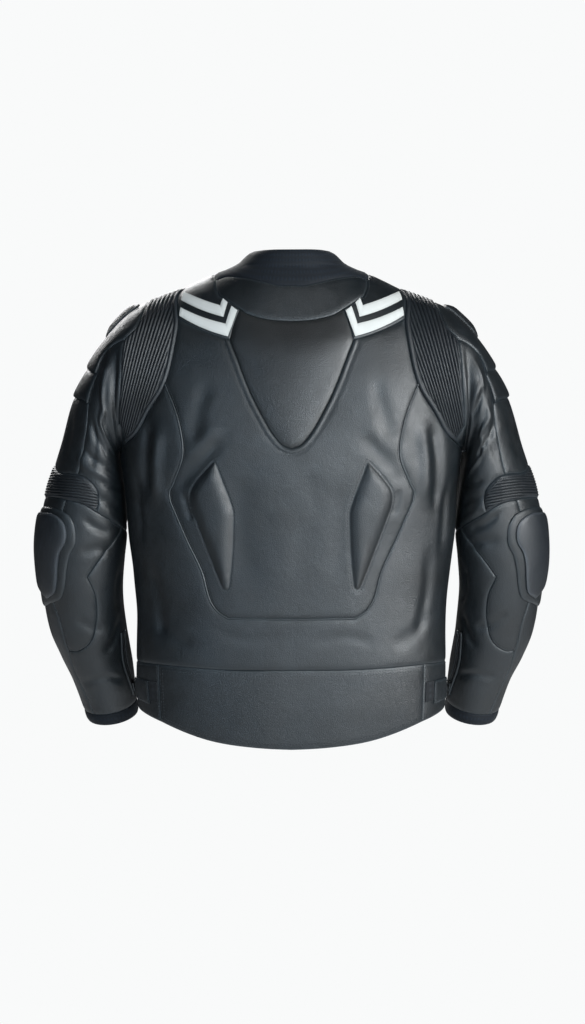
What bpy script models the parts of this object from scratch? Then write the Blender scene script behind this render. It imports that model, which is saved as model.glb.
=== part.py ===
"""Leather motorcycle jacket, filled out with no wearer and open at neck, cuffs and hem.

The front faces -Y and the wearer's left is +X. The jacket is the same on both sides of X = 0.
All sizes in this file are millimetres. They become metres where a mesh is made.
Two smooth surfaces carry every piece of cloth: the torso with its collar, and one sleeve.
Each surface is laid flat as (across, along), and each piece is an outline on it.
"""

from bisect import bisect
from math import cos, hypot, pi, radians, sin

import bmesh
import bpy
from mathutils import Matrix, Vector
from mathutils.geometry import delaunay_2d_cdt

# ---------------------------------------------------------------- driving sizes
METRES = 0.001
LEATHER = 2.0             # wall of the leather panels
KNIT = 3.0                # wall of the soft collar and of the cuffs
SEAM_GAP = 0.3            # between two neighbouring pieces
LIE_GAP = 0.3             # under a piece that lies on another
PITCH = 34.0              # between points inside a panel
SEAM_STEP = 26.0          # between points along a seam
EYE_BEHIND = 3500.0       # the outlines below are as seen from this far behind the jacket
EYE_HEIGHT = -320.0       # and from this height
SQUARENESS = 2.35         # of the torso's rings: 2 is an ellipse
RIB_HEIGHT = 1.4
RIB_INSET = 4.0           # of the ribs' ends from the seams
PAD_HEIGHT = 5.0          # of the lozenges raised in the back
CAP_STEP = 4.0            # how far a shoulder segment's foot stands off the next
CAP_RISE = 48.0           # the length over which it rises
CAP_DOME = 6.0            # how far the moulded shoulder cup swells in its middle

# ---------------------------------------------------------------- forms
# torso rings from the collar's edge down past the hem, each by its side, its back and its front
TORSO_COLUMNS = ("side_x", "side_z", "back_y", "back_z", "front_y", "front_z")
TORSO_RINGS = (
    (53, 48, 60, 42, 62, 24),        # collar's upper edge
    (65, 26, 66, 19.5, 72, 2),       # collar's fold
    (86, 18, 76, -2, 84, -26),       # where the collar meets the leather
    (106, 13, 87, -30, 93, -60),
    (151, -8, 99, -68, 104, -100),   # the ridge at the armholes
    (193, -26, 109, -108, 111, -140),
    (222, -62, 117, -150, 115, -180),
    (237, -112, 122, -190, 117, -212),
    (241, -170, 125, -228, 118, -245),
    (240, -234, 126, -270, 118, -282),  # underarm
    (232, -292, 124, -312, 118, -320),
    (228, -345, 121, -355, 117, -358),
    (220.5, -405, 118, -408, 116, -408),
    (216.3, -460, 116, -462, 115, -462),
    (214, -532, 116, -538, 114, -532),   # top of the waistband
    (210, -612, 115, -662, 112, -600),
)
# sleeve rings from the armhole to the cuff: outer and inner edge as seen from behind,
# middle and half depth front to back, shift of the deep sides in x, and lean of the ring
SLEEVE_COLUMNS = ("outer_x", "outer_z", "inner_x", "inner_z", "mid_y", "half_depth", "shift_x", "lean")
SLEEVE_RINGS = (
    (151, -8, 240, -233, 2, 78, -24, 0),      # armhole
    (195, -28, 241.5, -236, 1, 80, 14, 0),
    (260, -80, 242, -246, -2, 78, 8, 0),
    (301, -158, 237.5, -272, -8, 76, 0, 2),
    (321, -225, 232.3, -308, -14, 72, 0, 4),
    (344, -293, 229.5, -347, -18, 66, 0, 8),
    (352, -360, 233, -386, -22, 61, 0, 12),   # elbow
    (348.5, -416, 235.5, -430, -32, 57, 0, 16),
    (337, -483, 230.5, -482, -50, 53, 0, 19),
    (323, -517, 226, -508, -61, 50, 0, 20),
    (306, -550, 221.5, -534, -73, 47, 0, 20),
    (286, -607, 214, -598, -92, 44, 0, 18),   # cuff's edge
)

# ---------------------------------------------------------------- seams and outlines
# x and z as seen from behind, on the wearer's left
ARMHOLE = ((151, -8), (159, -49), (165, -94), (177.5, -142), (200, -180), (220, -214), (239.5, -236))
NECK_SEAM = ((0, -3), (18, -3), (40, 2), (68, 8), (90, 10), (106, 5))
BAND_END = ((106, 5), (101.5, -18))
BAND_TO_STRIPES = ((101.5, -18), (88, -26), (72.5, -36))
BAND_TO_YOKE = ((72.5, -36), (61, -43), (36, -50), (0, -53))
YOKE_EDGE = ((72.5, -36), (81, -57), (86.8, -79))
YOKE_SEAM = ((86.8, -79), (76.5, -106), (66.5, -133), (54, -162), (41, -187), (27, -211), (13, -227), (0, -232))
MAIN_UPPER = ((177.5, -142), (166, -170), (157.5, -197), (152, -230), (154, -250), (166, -281))
MAIN_CORNER = ((166, -281), (171.5, -293), (170, -306))
MAIN_LOWER = ((170, -306), (145, -364), (126, -405), (115.5, -442), (104, -460), (89, -470))
MAIN_BOTTOM = ((89, -470), (0, -471))
BELT_TOP = ((0, -543), (92, -542), (185.5, -534))
BELT_SIDE = ((185.5, -534), (182.5, -614))
HEM = ((0, -654), (54, -651), (119, -640), (182.5, -614))
PAD = ((107, -249), (87, -303), (81.5, -325), (88, -428), (96, -428), (136, -324), (141.5, -300), (138, -286))
STRIPE_UPPER = ((95.5, -22), (99.5, -32), (150, -12.5), (154.5, -24), (95, -48), (89, -28))
STRIPE_LOWER = ((83.5, -33), (92, -57.5), (155, -34.5), (157, -46), (89, -75), (82, -57), (75.5, -39))
STRAP_AT = (198, -573)     # the inner end of the strap's tab, at its middle
STRAP_HEIGHT = 32.0
LOOP_LENGTH = 9.0         # of the webbing between the strap's tab and the back of the waistband
STRAP_LENGTH = 50.0       # of the tab, round the side
# the same on the sleeve
RIB_EDGE = ((234, -79), (237, -96), (238.5, -128), (241, -165), (243, -200))
CAP_BACK = ((234, -79), (249, -86), (263, -101), (272.5, -126), (281, -154), (284, -168))
ARM_SEAM = ((284, -168), (287, -200), (293, -236), (300, -268.5))
ELBOW_RIB_TOP = ((300, -268.5), (276, -281))
ELBOW_RIB_END = ((276, -281), (270, -300), (273, -321))
ELBOW_RIB_LOW = ((273, -321), (294, -309), (316, -303.5))
FOREARM_CURVE = ((286, -412), (274, -440), (272.5, -474), (281, -503), (299, -516), (313, -515.5))
FOREARM_OUTER = ((334, -446), (323.5, -477), (313, -515.5))
FOREARM_LOW = ((313, -515.5), (300, -552), (283, -584))
ELBOW_FRAME = ((333, -447), (320, -441), (316, -425), (314.5, -402), (309, -380), (305, -362), (305.5, -343), (310, -330),
               (319, -321), (331, -313))
ELBOW_CUP = ((337, -440), (329, -434), (327, -413), (323.5, -387), (316, -364), (318, -343), (326, -328), (334, -321))
RIB_TOP = (216, -60)
CAP_MID_FOOT = (284, -116)
CAP_LOW_FOOT = (302, -159)
CAP_MID_ROW = 3           # the row of CAP_BACK where the middle segment ends
ELBOW_RIB_OUTER = ((328, -264), (343, -303))
ELBOW_SEAM = (250, -334)
OUTER_SEAM = ((332, -380), (334, -446))
SLEEVE_ZIP = ((236, -488), (231, -536), (220, -574))
# the outer edges of what wraps round the sleeve: degrees, and where that height shows
CAP_TOP = ((14, 258, -82), (0, 262, -84), (-45, 262, -84), (-58, 240, -58), (-45, 222, -46), (6, 222, -46),
           (14, 224, -50))
FRAME_OVER = ((-6, 350, -322), (-22, 351, -350), (-24, 350, -395), (-10, 346, -428), (8, 342, -444))
CUP_OVER = ((0, 350, -328), (-14, 351, -352), (-15, 350, -392), (-2, 346, -422))
SIDE_SEAM_AT = 0.52       # of the way from the back's middle to the front's middle
FRONT_YOKE_ROW = 2        # the armhole row where the shoulder piece ends at the front
ZIP_HALF = 6.0            # half width of the front zip's tape
SLEEVE_ZIP_HALF = 4.0
ZIP_WALL = 1.5            # of the sleeve's zip
CUFF_HEIGHT = 17.0
STRIPE_WALL = 1.0
STRAP_WALL = 2.5
LOOP_WALL = 1.5
CAP_WALL = 3.0            # of the shoulder cup and of the frame round the elbow cup
CUP_WALL = 4.0
CAP_FRONT = -70.0         # degrees round the sleeve, from its outer side towards the front
RIB_FRONT = -28.0
ELBOW_FRONT = -38.0
RIB_SPACING = 5.2
RIB_SLOPE = 0.34          # along for each millimetre across
ELBOW_RIBS = 11

# a zip's slider and its pull tab, as boxes that overlap: middles and sizes across, along and outward,
# the slider's from the tape and the tab's from its pin
BOX_COLUMNS = ("across", "along", "out", "width", "length", "height")
SLIDER_BOXES = (
    (0, 0, 1.0, 9.0, 14.0, 2.0),         # body
    (0, -3.9, 3.2, 2.4, 1.2, 2.8),       # two posts
    (0, 3.9, 3.2, 2.4, 1.2, 2.8),
    (0, 0, 5.0, 2.4, 9.0, 1.2),          # bridge over the pin
)
TAB_BOXES = (
    (0, 0, 0, 7.2, 1.2, 1.2),            # pin
    (-2.9, 3.2, 0, 1.4, 6.6, 1.2),       # two arms beside the bridge
    (2.9, 3.2, 0, 1.4, 6.6, 1.2),
    (0, 12.5, 0, 7.2, 13.0, 1.2),        # grip
)
PIN_HEIGHT = 3.2          # of the tab's pin over the tape
FRONT_SLIDER = 14.0       # along the front zip, where its slider stops
SLEEVE_SLIDER = 0.75      # of the way along the last part of the sleeve's zip

# creases as troughs: from, to, half width, depth; on the torso and on the sleeve, as seen
TORSO_FOLDS = (
    ((196, -205), (203, -300), 17, 5.0),
    ((183, -210), (186, -262), 13, -3.5),
    ((212, -262), (206, -352), 12, 4.0),
    ((150, -262), (112, -240), 11, 3.5),
    ((186, -480), (140, -512), 15, 3.5),
)
SLEEVE_FOLDS = (
    ((247, -106), (249, -176), 9, 6.0),
    ((260, -116), (263, -184), 10, -4.0),
    ((265, -205), (247, -236), 8, 5.0),
    ((290, -226), (252, -262), 12, 5.0),
    ((262, -286), (240, -300), 10, 4.5),
    ((296, -330), (262, -352), 9, 4.0),
)


# ---------------------------------------------------------------- curves and surfaces
def smooth(knots, values):
    """A curve through the values at the knots, with its slope at a knot set by both neighbours."""
    last = len(knots) - 1
    slopes = []
    for i in range(last + 1):
        before, after = max(i - 1, 0), min(i + 1, last)
        slopes.append((values[after] - values[before]) / (knots[after] - knots[before]))

    def read(at):
        i = min(max(bisect(knots, at) - 1, 0), last - 1)
        span = knots[i + 1] - knots[i]
        t = (at - knots[i]) / span
        return (values[i] * ((1 + 2 * t) * (1 - t) ** 2) + slopes[i] * (span * t * (1 - t) ** 2)
                + values[i + 1] * (t * t * (3 - 2 * t)) + slopes[i + 1] * (span * t * t * (t - 1)))
    return read


def smooth_rings(names, rings, knots):
    return {name: smooth(knots, [ring[i] for ring in rings]) for i, name in enumerate(names)}


def running_length(points):
    """The distance along the points from the first to each."""
    total = [0.0]
    for a, b in zip(points, points[1:]):
        total.append(total[-1] + (b - a).length)
    return total


def as_seen(point):
    """Where a point shows from behind, on the plane Y = 0."""
    scale = EYE_BEHIND / (EYE_BEHIND - point.y)
    return Vector((point.x * scale, EYE_HEIGHT + (point.z - EYE_HEIGHT) * scale))


def unseen(x, z, y):
    """The x and z of a point at depth y that shows at (x, z)."""
    scale = (EYE_BEHIND - y) / EYE_BEHIND
    return x * scale, EYE_HEIGHT + (z - EYE_HEIGHT) * scale


class Surface:
    """One smooth form, laid flat in millimetres across and along."""

    def __init__(self, shape, across, along, turn):
        self.shape = shape
        self.turn = turn
        self.folds = []
        starts = [(a, v) for a in range(across[0], across[1], 12) for v in range(along[0], along[1], 12)]
        self.starts = [(Vector(start), as_seen(shape(*start))) for start in starts]

    def find(self, x, z):
        """The flat place of what shows at (x, z)."""
        goal = Vector((x, z))
        place = min(self.starts, key=lambda start: (start[1] - goal).length)[0].copy()
        for _ in range(12):
            here = as_seen(self.shape(*place))
            miss = goal - here
            right = as_seen(self.shape(place.x + 0.5, place.y)) - here
            down = as_seen(self.shape(place.x, place.y + 0.5)) - here
            area = right.x * down.y - right.y * down.x
            step = Vector((miss.x * down.y - miss.y * down.x, right.x * miss.y - right.y * miss.x)) * (0.5 / area)
            place += step * min(1.0, 20.0 / max(step.length, 20.0))
        return place

    def trace(self, outline, step=SEAM_STEP):
        """A smooth seam through points as seen, in flat places about a step apart."""
        return spaced([self.find(*point) for point in outline], step)

    def normal(self, place):
        across = self.shape(place.x + 1, place.y) - self.shape(place.x - 1, place.y)
        along = self.shape(place.x, place.y + 1) - self.shape(place.x, place.y - 1)
        return across.cross(along).normalized() * self.turn

    def fold_depth(self, place):
        """How far the creases sink a place into the form."""
        total = 0.0
        for start, end, half_width, depth in self.folds:
            run = end - start
            part = min(max((place - start).dot(run) / run.length_squared, 0), 1)
            off = (place - start - run * part).length / half_width
            if off < 1:
                total += depth * (0.5 + 0.5 * cos(pi * off)) * min(1.0, 1.6 * sin(pi * (0.12 + 0.76 * part)))
        return total

    def point(self, place):
        return self.shape(*place) - self.normal(place) * self.fold_depth(place)


def spaced(places, step, straight=False):
    """Places about a step apart on the curve, or on the straight runs, through the given ones."""
    knots = running_length(places)
    curve = smooth(knots, places)
    found = [places[0]]
    for a, b, start, end in zip(places, places[1:], knots, knots[1:]):
        pieces = max(1, round((end - start) / step))
        for i in range(1, pieces):
            part = i / pieces
            found.append(a.lerp(b, part) if straight else curve(start + (end - start) * part))
        found.append(b)
    return found


def torso_shape():
    """The torso's form: across from the back's middle to the front's, along from the collar down."""
    knots = [0.0]
    for above, below in zip(TORSO_RINGS, TORSO_RINGS[1:]):
        side = hypot(below[0] - above[0], below[1] - above[1])
        back = hypot(below[2] - above[2], below[3] - above[3])
        knots.append(knots[-1] + (side + back) / 2)
    rings = smooth_rings(TORSO_COLUMNS, TORSO_RINGS, knots)

    def ring_at(angle, row):
        deep = row["back_y"] if cos(angle) > 0 else row["front_y"]
        reach = (abs(sin(angle) / row["side_x"]) ** SQUARENESS + abs(cos(angle) / deep) ** SQUARENESS)
        reach = reach ** (-1 / SQUARENESS)
        return reach * sin(angle), reach * cos(angle), deep

    chest = dict(zip(TORSO_COLUMNS, TORSO_RINGS[10]))
    angles = [pi * i / 90 for i in range(91)]
    lengths = running_length([Vector(ring_at(angle, chest)[:2]) for angle in angles])
    angle_of = smooth(lengths, angles)

    def shape(across, along):
        row = {name: curve(along) for name, curve in rings.items()}
        angle = angle_of(across)
        x, y, deep = ring_at(angle, row)
        end_z = row["back_z"] if y > 0 else row["front_z"]
        return Vector((x, y, row["side_z"] + (end_z - row["side_z"]) * (y / deep) ** 2))
    return shape, lengths[-1], knots


torso_form, FRONT_MIDDLE, TORSO_KNOTS = torso_shape()
torso = Surface(torso_form, (0, int(FRONT_MIDDLE / 2)), (0, int(TORSO_KNOTS[-1])), 1)
SIDE = FRONT_MIDDLE * SIDE_SEAM_AT


def armhole_places():
    """The armhole on the torso: down the back from the ridge, then up the front."""
    back = [torso.find(*row) for row in ARMHOLE]
    ridge, under = back[0].x, back[-1].x
    front = [Vector((2 * (ridge + (under - ridge) * i / 6) - place.x, place.y)) for i, place in enumerate(back)]
    down = spaced(back, SEAM_STEP)
    up = spaced(front[::-1], SEAM_STEP)
    return down, up, front


ARMHOLE_BACK, ARMHOLE_FRONT, FRONT_ROWS = armhole_places()


def sleeve_shape():
    """The sleeve's form: across from its outer side to the back (+) and front (-), along to the cuff."""
    def ring_at(angle, row):
        outer = Vector((row["outer_x"], row["outer_z"]))
        inner = Vector((row["inner_x"], row["inner_z"]))
        middle = (outer + inner) / 2
        reach = (outer - inner) / 2 * cos(angle)
        x, z = unseen(middle.x + reach.x, middle.y + reach.y, row["mid_y"])
        lean = radians(row["lean"])
        return Vector((x + row["shift_x"] * sin(angle) ** 2,
                       row["mid_y"] + row["half_depth"] * sin(angle) * cos(lean),
                       z - row["half_depth"] * sin(angle) * sin(lean)))

    stations = [radians(degrees) for degrees in (0, 60, 120, 180, 240, 300)]
    knots = [0.0]
    rows = [dict(zip(SLEEVE_COLUMNS, ring)) for ring in SLEEVE_RINGS]
    for above, below in zip(rows, rows[1:]):
        steps = [(ring_at(a, below) - ring_at(a, above)).length for a in stations]
        knots.append(knots[-1] + sum(steps) / len(steps))
    rings = smooth_rings(SLEEVE_COLUMNS, SLEEVE_RINGS, knots)

    def angles_for(places, start):
        """Angles at which the first ring passes the armhole's own points."""
        fine = [start + i * radians(2) for i in range(91)]
        ring_run = running_length([ring_at(angle, rows[0]) for angle in fine])
        angle_of = smooth([run / ring_run[-1] for run in ring_run], fine)
        run = running_length([torso.shape(*place) for place in places])
        return [angle_of(length / run[-1]) for length in run]

    back, front = angles_for(ARMHOLE_BACK, 0), angles_for(ARMHOLE_FRONT, pi)
    angles = back + front[1:]
    places = ARMHOLE_BACK + ARMHOLE_FRONT[1:]
    wrapped = [angles[-2] - 2 * pi] + angles + [angles[1] + 2 * pi]
    loop = smooth(wrapped, [places[-2]] + places + [places[1]])

    def shape(across, along):
        angle = across / SLEEVE_HALF * pi
        row = {name: curve(along) for name, curve in rings.items()}
        at = ring_at(angle, row)
        left = 1 - along / knots[2]
        if left > 0:
            at += (torso.shape(*loop(angle % (2 * pi))) - ring_at(angle, rows[0])) * left ** 2
        return at
    return shape, knots, back, [angle - 2 * pi for angle in front]


SLEEVE_HALF = 190.0       # across, from the outer side to the seam under the arm
sleeve_form, SLEEVE_KNOTS, BACK_ANGLES, FRONT_ANGLES = sleeve_shape()
SLEEVE_END = SLEEVE_KNOTS[-1]
sleeve = Surface(sleeve_form, (0, int(SLEEVE_HALF)), (0, int(SLEEVE_END)), -1)
torso.folds = [(torso.find(*a), torso.find(*b), w, d) for a, b, w, d in TORSO_FOLDS]
sleeve.folds = [(sleeve.find(*a), sleeve.find(*b), w, d) for a, b, w, d in SLEEVE_FOLDS]


def armhole_directions():
    """The way the edge walls face along the armhole, shared by the torso and the sleeve."""
    torso_ways, sleeve_ways = [], []
    places = ARMHOLE_BACK + ARMHOLE_FRONT[1:-1]
    angles = BACK_ANGLES + FRONT_ANGLES[1:-1]
    points = [torso.shape(*place) for place in places]
    centre = sum(points, Vector()) / len(points)
    for i, place in enumerate(places):
        tangent = (points[(i + 1) % len(points)] - points[i - 1]).normalized()
        spoke = points[i] - centre
        way = (spoke - tangent * spoke.dot(tangent)).normalized()
        across = angles[i] / pi * SLEEVE_HALF
        torso_ways.append((place, way))
        sleeve_ways.append((Vector((across, 0)), way))
        if abs(across - SLEEVE_HALF) < 0.1:
            sleeve_ways.append((Vector((-SLEEVE_HALF, 0)), way))
    return torso_ways, sleeve_ways


TORSO_EDGE_WAYS, SLEEVE_EDGE_WAYS = armhole_directions()


# ---------------------------------------------------------------- laying out and sewing
def inside(place, outline):
    """Whether a flat place is inside an outline."""
    hit = False
    for a, b in zip(outline, outline[1:] + outline[:1]):
        if (a.y > place.y) != (b.y > place.y):
            if place.x < a.x + (place.y - a.y) * (b.x - a.x) / (b.y - a.y):
                hit = not hit
    return hit


def off_line(place, a, b):
    run = b - a
    part = min(max((place - a).dot(run) / max(run.length_squared, 1e-9), 0), 1)
    return (place - a - run * part).length


class Layout:
    """Outlines and lines on one flat surface, in one triangulation that they all share.

    Each line is its places and the height to which it is raised. No points are spread in bare outlines.
    """

    def __init__(self, outlines, lines, bare):
        self.names = list(outlines)
        places, edges, faces, raised = [], [], [], {}
        for outline in outlines.values():
            area = sum(a.cross(b) for a, b in zip(outline, outline[1:] + outline[:1]))
            outline = outline if area > 0 else outline[::-1]
            faces.append(list(range(len(places), len(places) + len(outline))))
            places += outline
        for line, height in lines:
            edges += [(len(places) + i, len(places) + i + 1) for i in range(len(line) - 1)]
            raised.update((len(places) + i, height) for i in range(len(line)))
            places += line
        walls = [(places[f[i - 1]], places[f[i]]) for f in faces for i in range(len(f))]
        walls += [(places[a], places[b]) for a, b in edges]
        left, right = min(p.x for p in places), max(p.x for p in places)
        top, bottom = min(p.y for p in places), max(p.y for p in places)
        row = 0
        while top + row * PITCH * 0.87 < bottom:
            place_y = top + row * PITCH * 0.87
            for column in range(int((right - left) / PITCH) + 1):
                place = Vector((left + (column + 0.5 * (row % 2)) * PITCH, place_y))
                if any(inside(place, outlines[name]) for name in bare):
                    continue
                if all(off_line(place, a, b) > PITCH * 0.42 for a, b in walls):
                    places.append(place)
            row += 1
        found = delaunay_2d_cdt(places, edges, faces, 1, 0.02)
        self.places = found[0]
        self.heights = [max((raised.get(i, 0.0) for i in sources), default=0.0) for sources in found[3]]
        self.faces = {name: [] for name in self.names}
        for corners, owners in zip(found[2], found[5]):
            a, b, c = (self.places[i] for i in corners)
            if (b - a).cross(c - a) < 0:
                corners = corners[::-1]
            for owner in owners:
                self.faces[self.names[owner]].append(tuple(corners))


def shared_way(place, ways):
    """The way an armhole's edge faces at a place on it."""
    for at, way in ways:
        if (place - at).length < 0.2:
            return way.copy()
    return None


def sew(surface, layout, name, wall, lift=0.0, ways=(), relief=None, rests=None, seam=True):
    """A closed cloth piece: points on the form moved out and in, and walls along its edges.

    Relief raises only its outer face, and rests raises all of it.
    """
    triangles = layout.faces[name]
    if surface.turn < 0:
        triangles = [face[::-1] for face in triangles]
    used = sorted({i for face in triangles for i in face})
    order = {i: n for n, i in enumerate(used)}
    places = [layout.places[i] for i in used]
    normals = [shared_way(place, ways) or surface.normal(place) for place in places]
    points = [surface.point(place) for place in places]
    for point, normal in zip(points, normals):
        if abs(point.x) < 0.02:
            point.x = normal.x = 0.0
            normal.normalize()
    corners = [(round(p.z, 1), round(p.y, 1)) for p in points]
    faces = [tuple(order[i] for i in face) for face in triangles]
    directed = {(face[k], face[(k + 1) % 3]) for face in faces for k in range(3)}
    rim = [(a, b) for a, b in directed if (b, a) not in directed]
    rim = [(a, b) for a, b in rim if points[a].x != 0.0 or points[b].x != 0.0]
    if seam:
        pulls = {}
        for a, b in rim:
            for i in (a, b):
                pull = normals[i].cross((points[b] - points[a]).normalized())
                pulls.setdefault(i, []).append(pull.normalized())
        shifts = {}
        for i, both in pulls.items():
            mean = sum(both, Vector())
            if points[i].x == 0.0:
                mean.x = 0.0
            mean.normalize()
            shifts[i] = mean * (SEAM_GAP / 2 / max(mean.dot(both[0]), 0.4))
        for i, shift in shifts.items():
            points[i] += shift
    heights = [relief(place) if relief else layout.heights[i] for i, place in zip(used, places)]
    if rests:
        points = [p + n * rests(place) for p, n, place in zip(points, normals, places)]
    top = [p + n * (lift + h) for p, n, h in zip(points, normals, heights)]
    low = [p + n * (lift - wall) for p, n in zip(points, normals)]
    count = len(points)
    solid = faces + [tuple(i + count for i in face[::-1]) for face in faces]
    for a, b in rim:
        if corners[a] < corners[b]:
            solid += [(b, a, b + count), (a, a + count, b + count)]
        else:
            solid += [(b, a, a + count), (b, a + count, b + count)]
    return top + low, solid


# ---------------------------------------------------------------- objects
def material(name, colour, roughness, metallic=0.0):
    made = bpy.data.materials.new(name)
    made.use_nodes = True
    shader = made.node_tree.nodes["Principled BSDF"]
    linear = [(c / 12.92 if c <= 0.04045 else ((c + 0.055) / 1.055) ** 2.4) for c in colour]
    shader.inputs["Base Color"].default_value = (*linear, 1)
    shader.inputs["Roughness"].default_value = roughness
    shader.inputs["Metallic"].default_value = metallic
    made.diffuse_color = (*colour, 1)
    return made


def clear_scene():
    for thing in list(bpy.data.objects):
        bpy.data.objects.remove(thing, do_unlink=True)


clear_scene()
parts = bpy.data.collections.new("motorcycle_jacket")
bpy.context.scene.collection.children.link(parts)
joined = bpy.data.collections.new("joined_boxes")
bpy.context.scene.collection.children.link(joined)
BLACK_LEATHER = material("black_leather", (0.13, 0.14, 0.15), 0.5)
WHITE_LEATHER = material("white_leather", (0.93, 0.94, 0.95), 0.5)
RIBBED = material("ribbed_leather", (0.12, 0.12, 0.13), 0.6)
SOFT_KNIT = material("soft_knit", (0.11, 0.13, 0.17), 0.85)
WEBBING = material("strap_webbing", (0.08, 0.08, 0.09), 0.8)
ZIP_TAPE = material("zip_tape", (0.08, 0.08, 0.09), 0.8)
CUP = material("moulded_cup", (0.27, 0.28, 0.29), 0.4)
METAL = material("dark_metal", (0.35, 0.35, 0.36), 0.35, 0.9)


def add_object(name, points, faces, look):
    """A cloth piece from its points in millimetres."""
    mesh = bpy.data.meshes.new(name)
    mesh.from_pydata([p * METRES for p in points], [], faces)
    mesh.materials.append(look)
    parts.objects.link(bpy.data.objects.new(name, mesh))


def mirrored(points, faces):
    return [Vector((-p.x, p.y, p.z)) for p in points], [face[::-1] for face in faces]


def add_pair(name, points, faces, look):
    add_object(name + "_L", points, faces, look)
    add_object(name + "_R", *mirrored(points, faces), look)


def add_across(name, points, faces, look):
    """A piece across the middle, from its left half, open at X = 0."""
    other, other_faces = mirrored(points, faces)
    order, extra = {}, []
    for i, point in enumerate(points):
        if point.x == 0.0:
            order[i] = i
        else:
            order[i] = len(points) + len(extra)
            extra.append(other[i])
    add_object(name, points + extra, faces + [tuple(order[i] for i in f) for f in other_faces], look)


def chain(*seams):
    """One closed outline from seams laid end to end."""
    outline = []
    for seam in seams:
        outline += seam[:-1]
    return outline


def back(seam):
    return seam[::-1]


# ---------------------------------------------------------------- torso
def rows_of(places, rows):
    """The positions along a seam of its table's rows."""
    return [min(range(len(places)), key=lambda i: (places[i] - row).length) for row in rows]


def box_on(start, length, height):
    """A closed rectangle on a flat surface, from the middle of its first end."""
    corners = [(0, -0.5), (1, -0.5), (1, 0.5), (0, 0.5), (0, -0.5)]
    return [start + Vector((length * a, height * v)) for a, v in corners]


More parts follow.
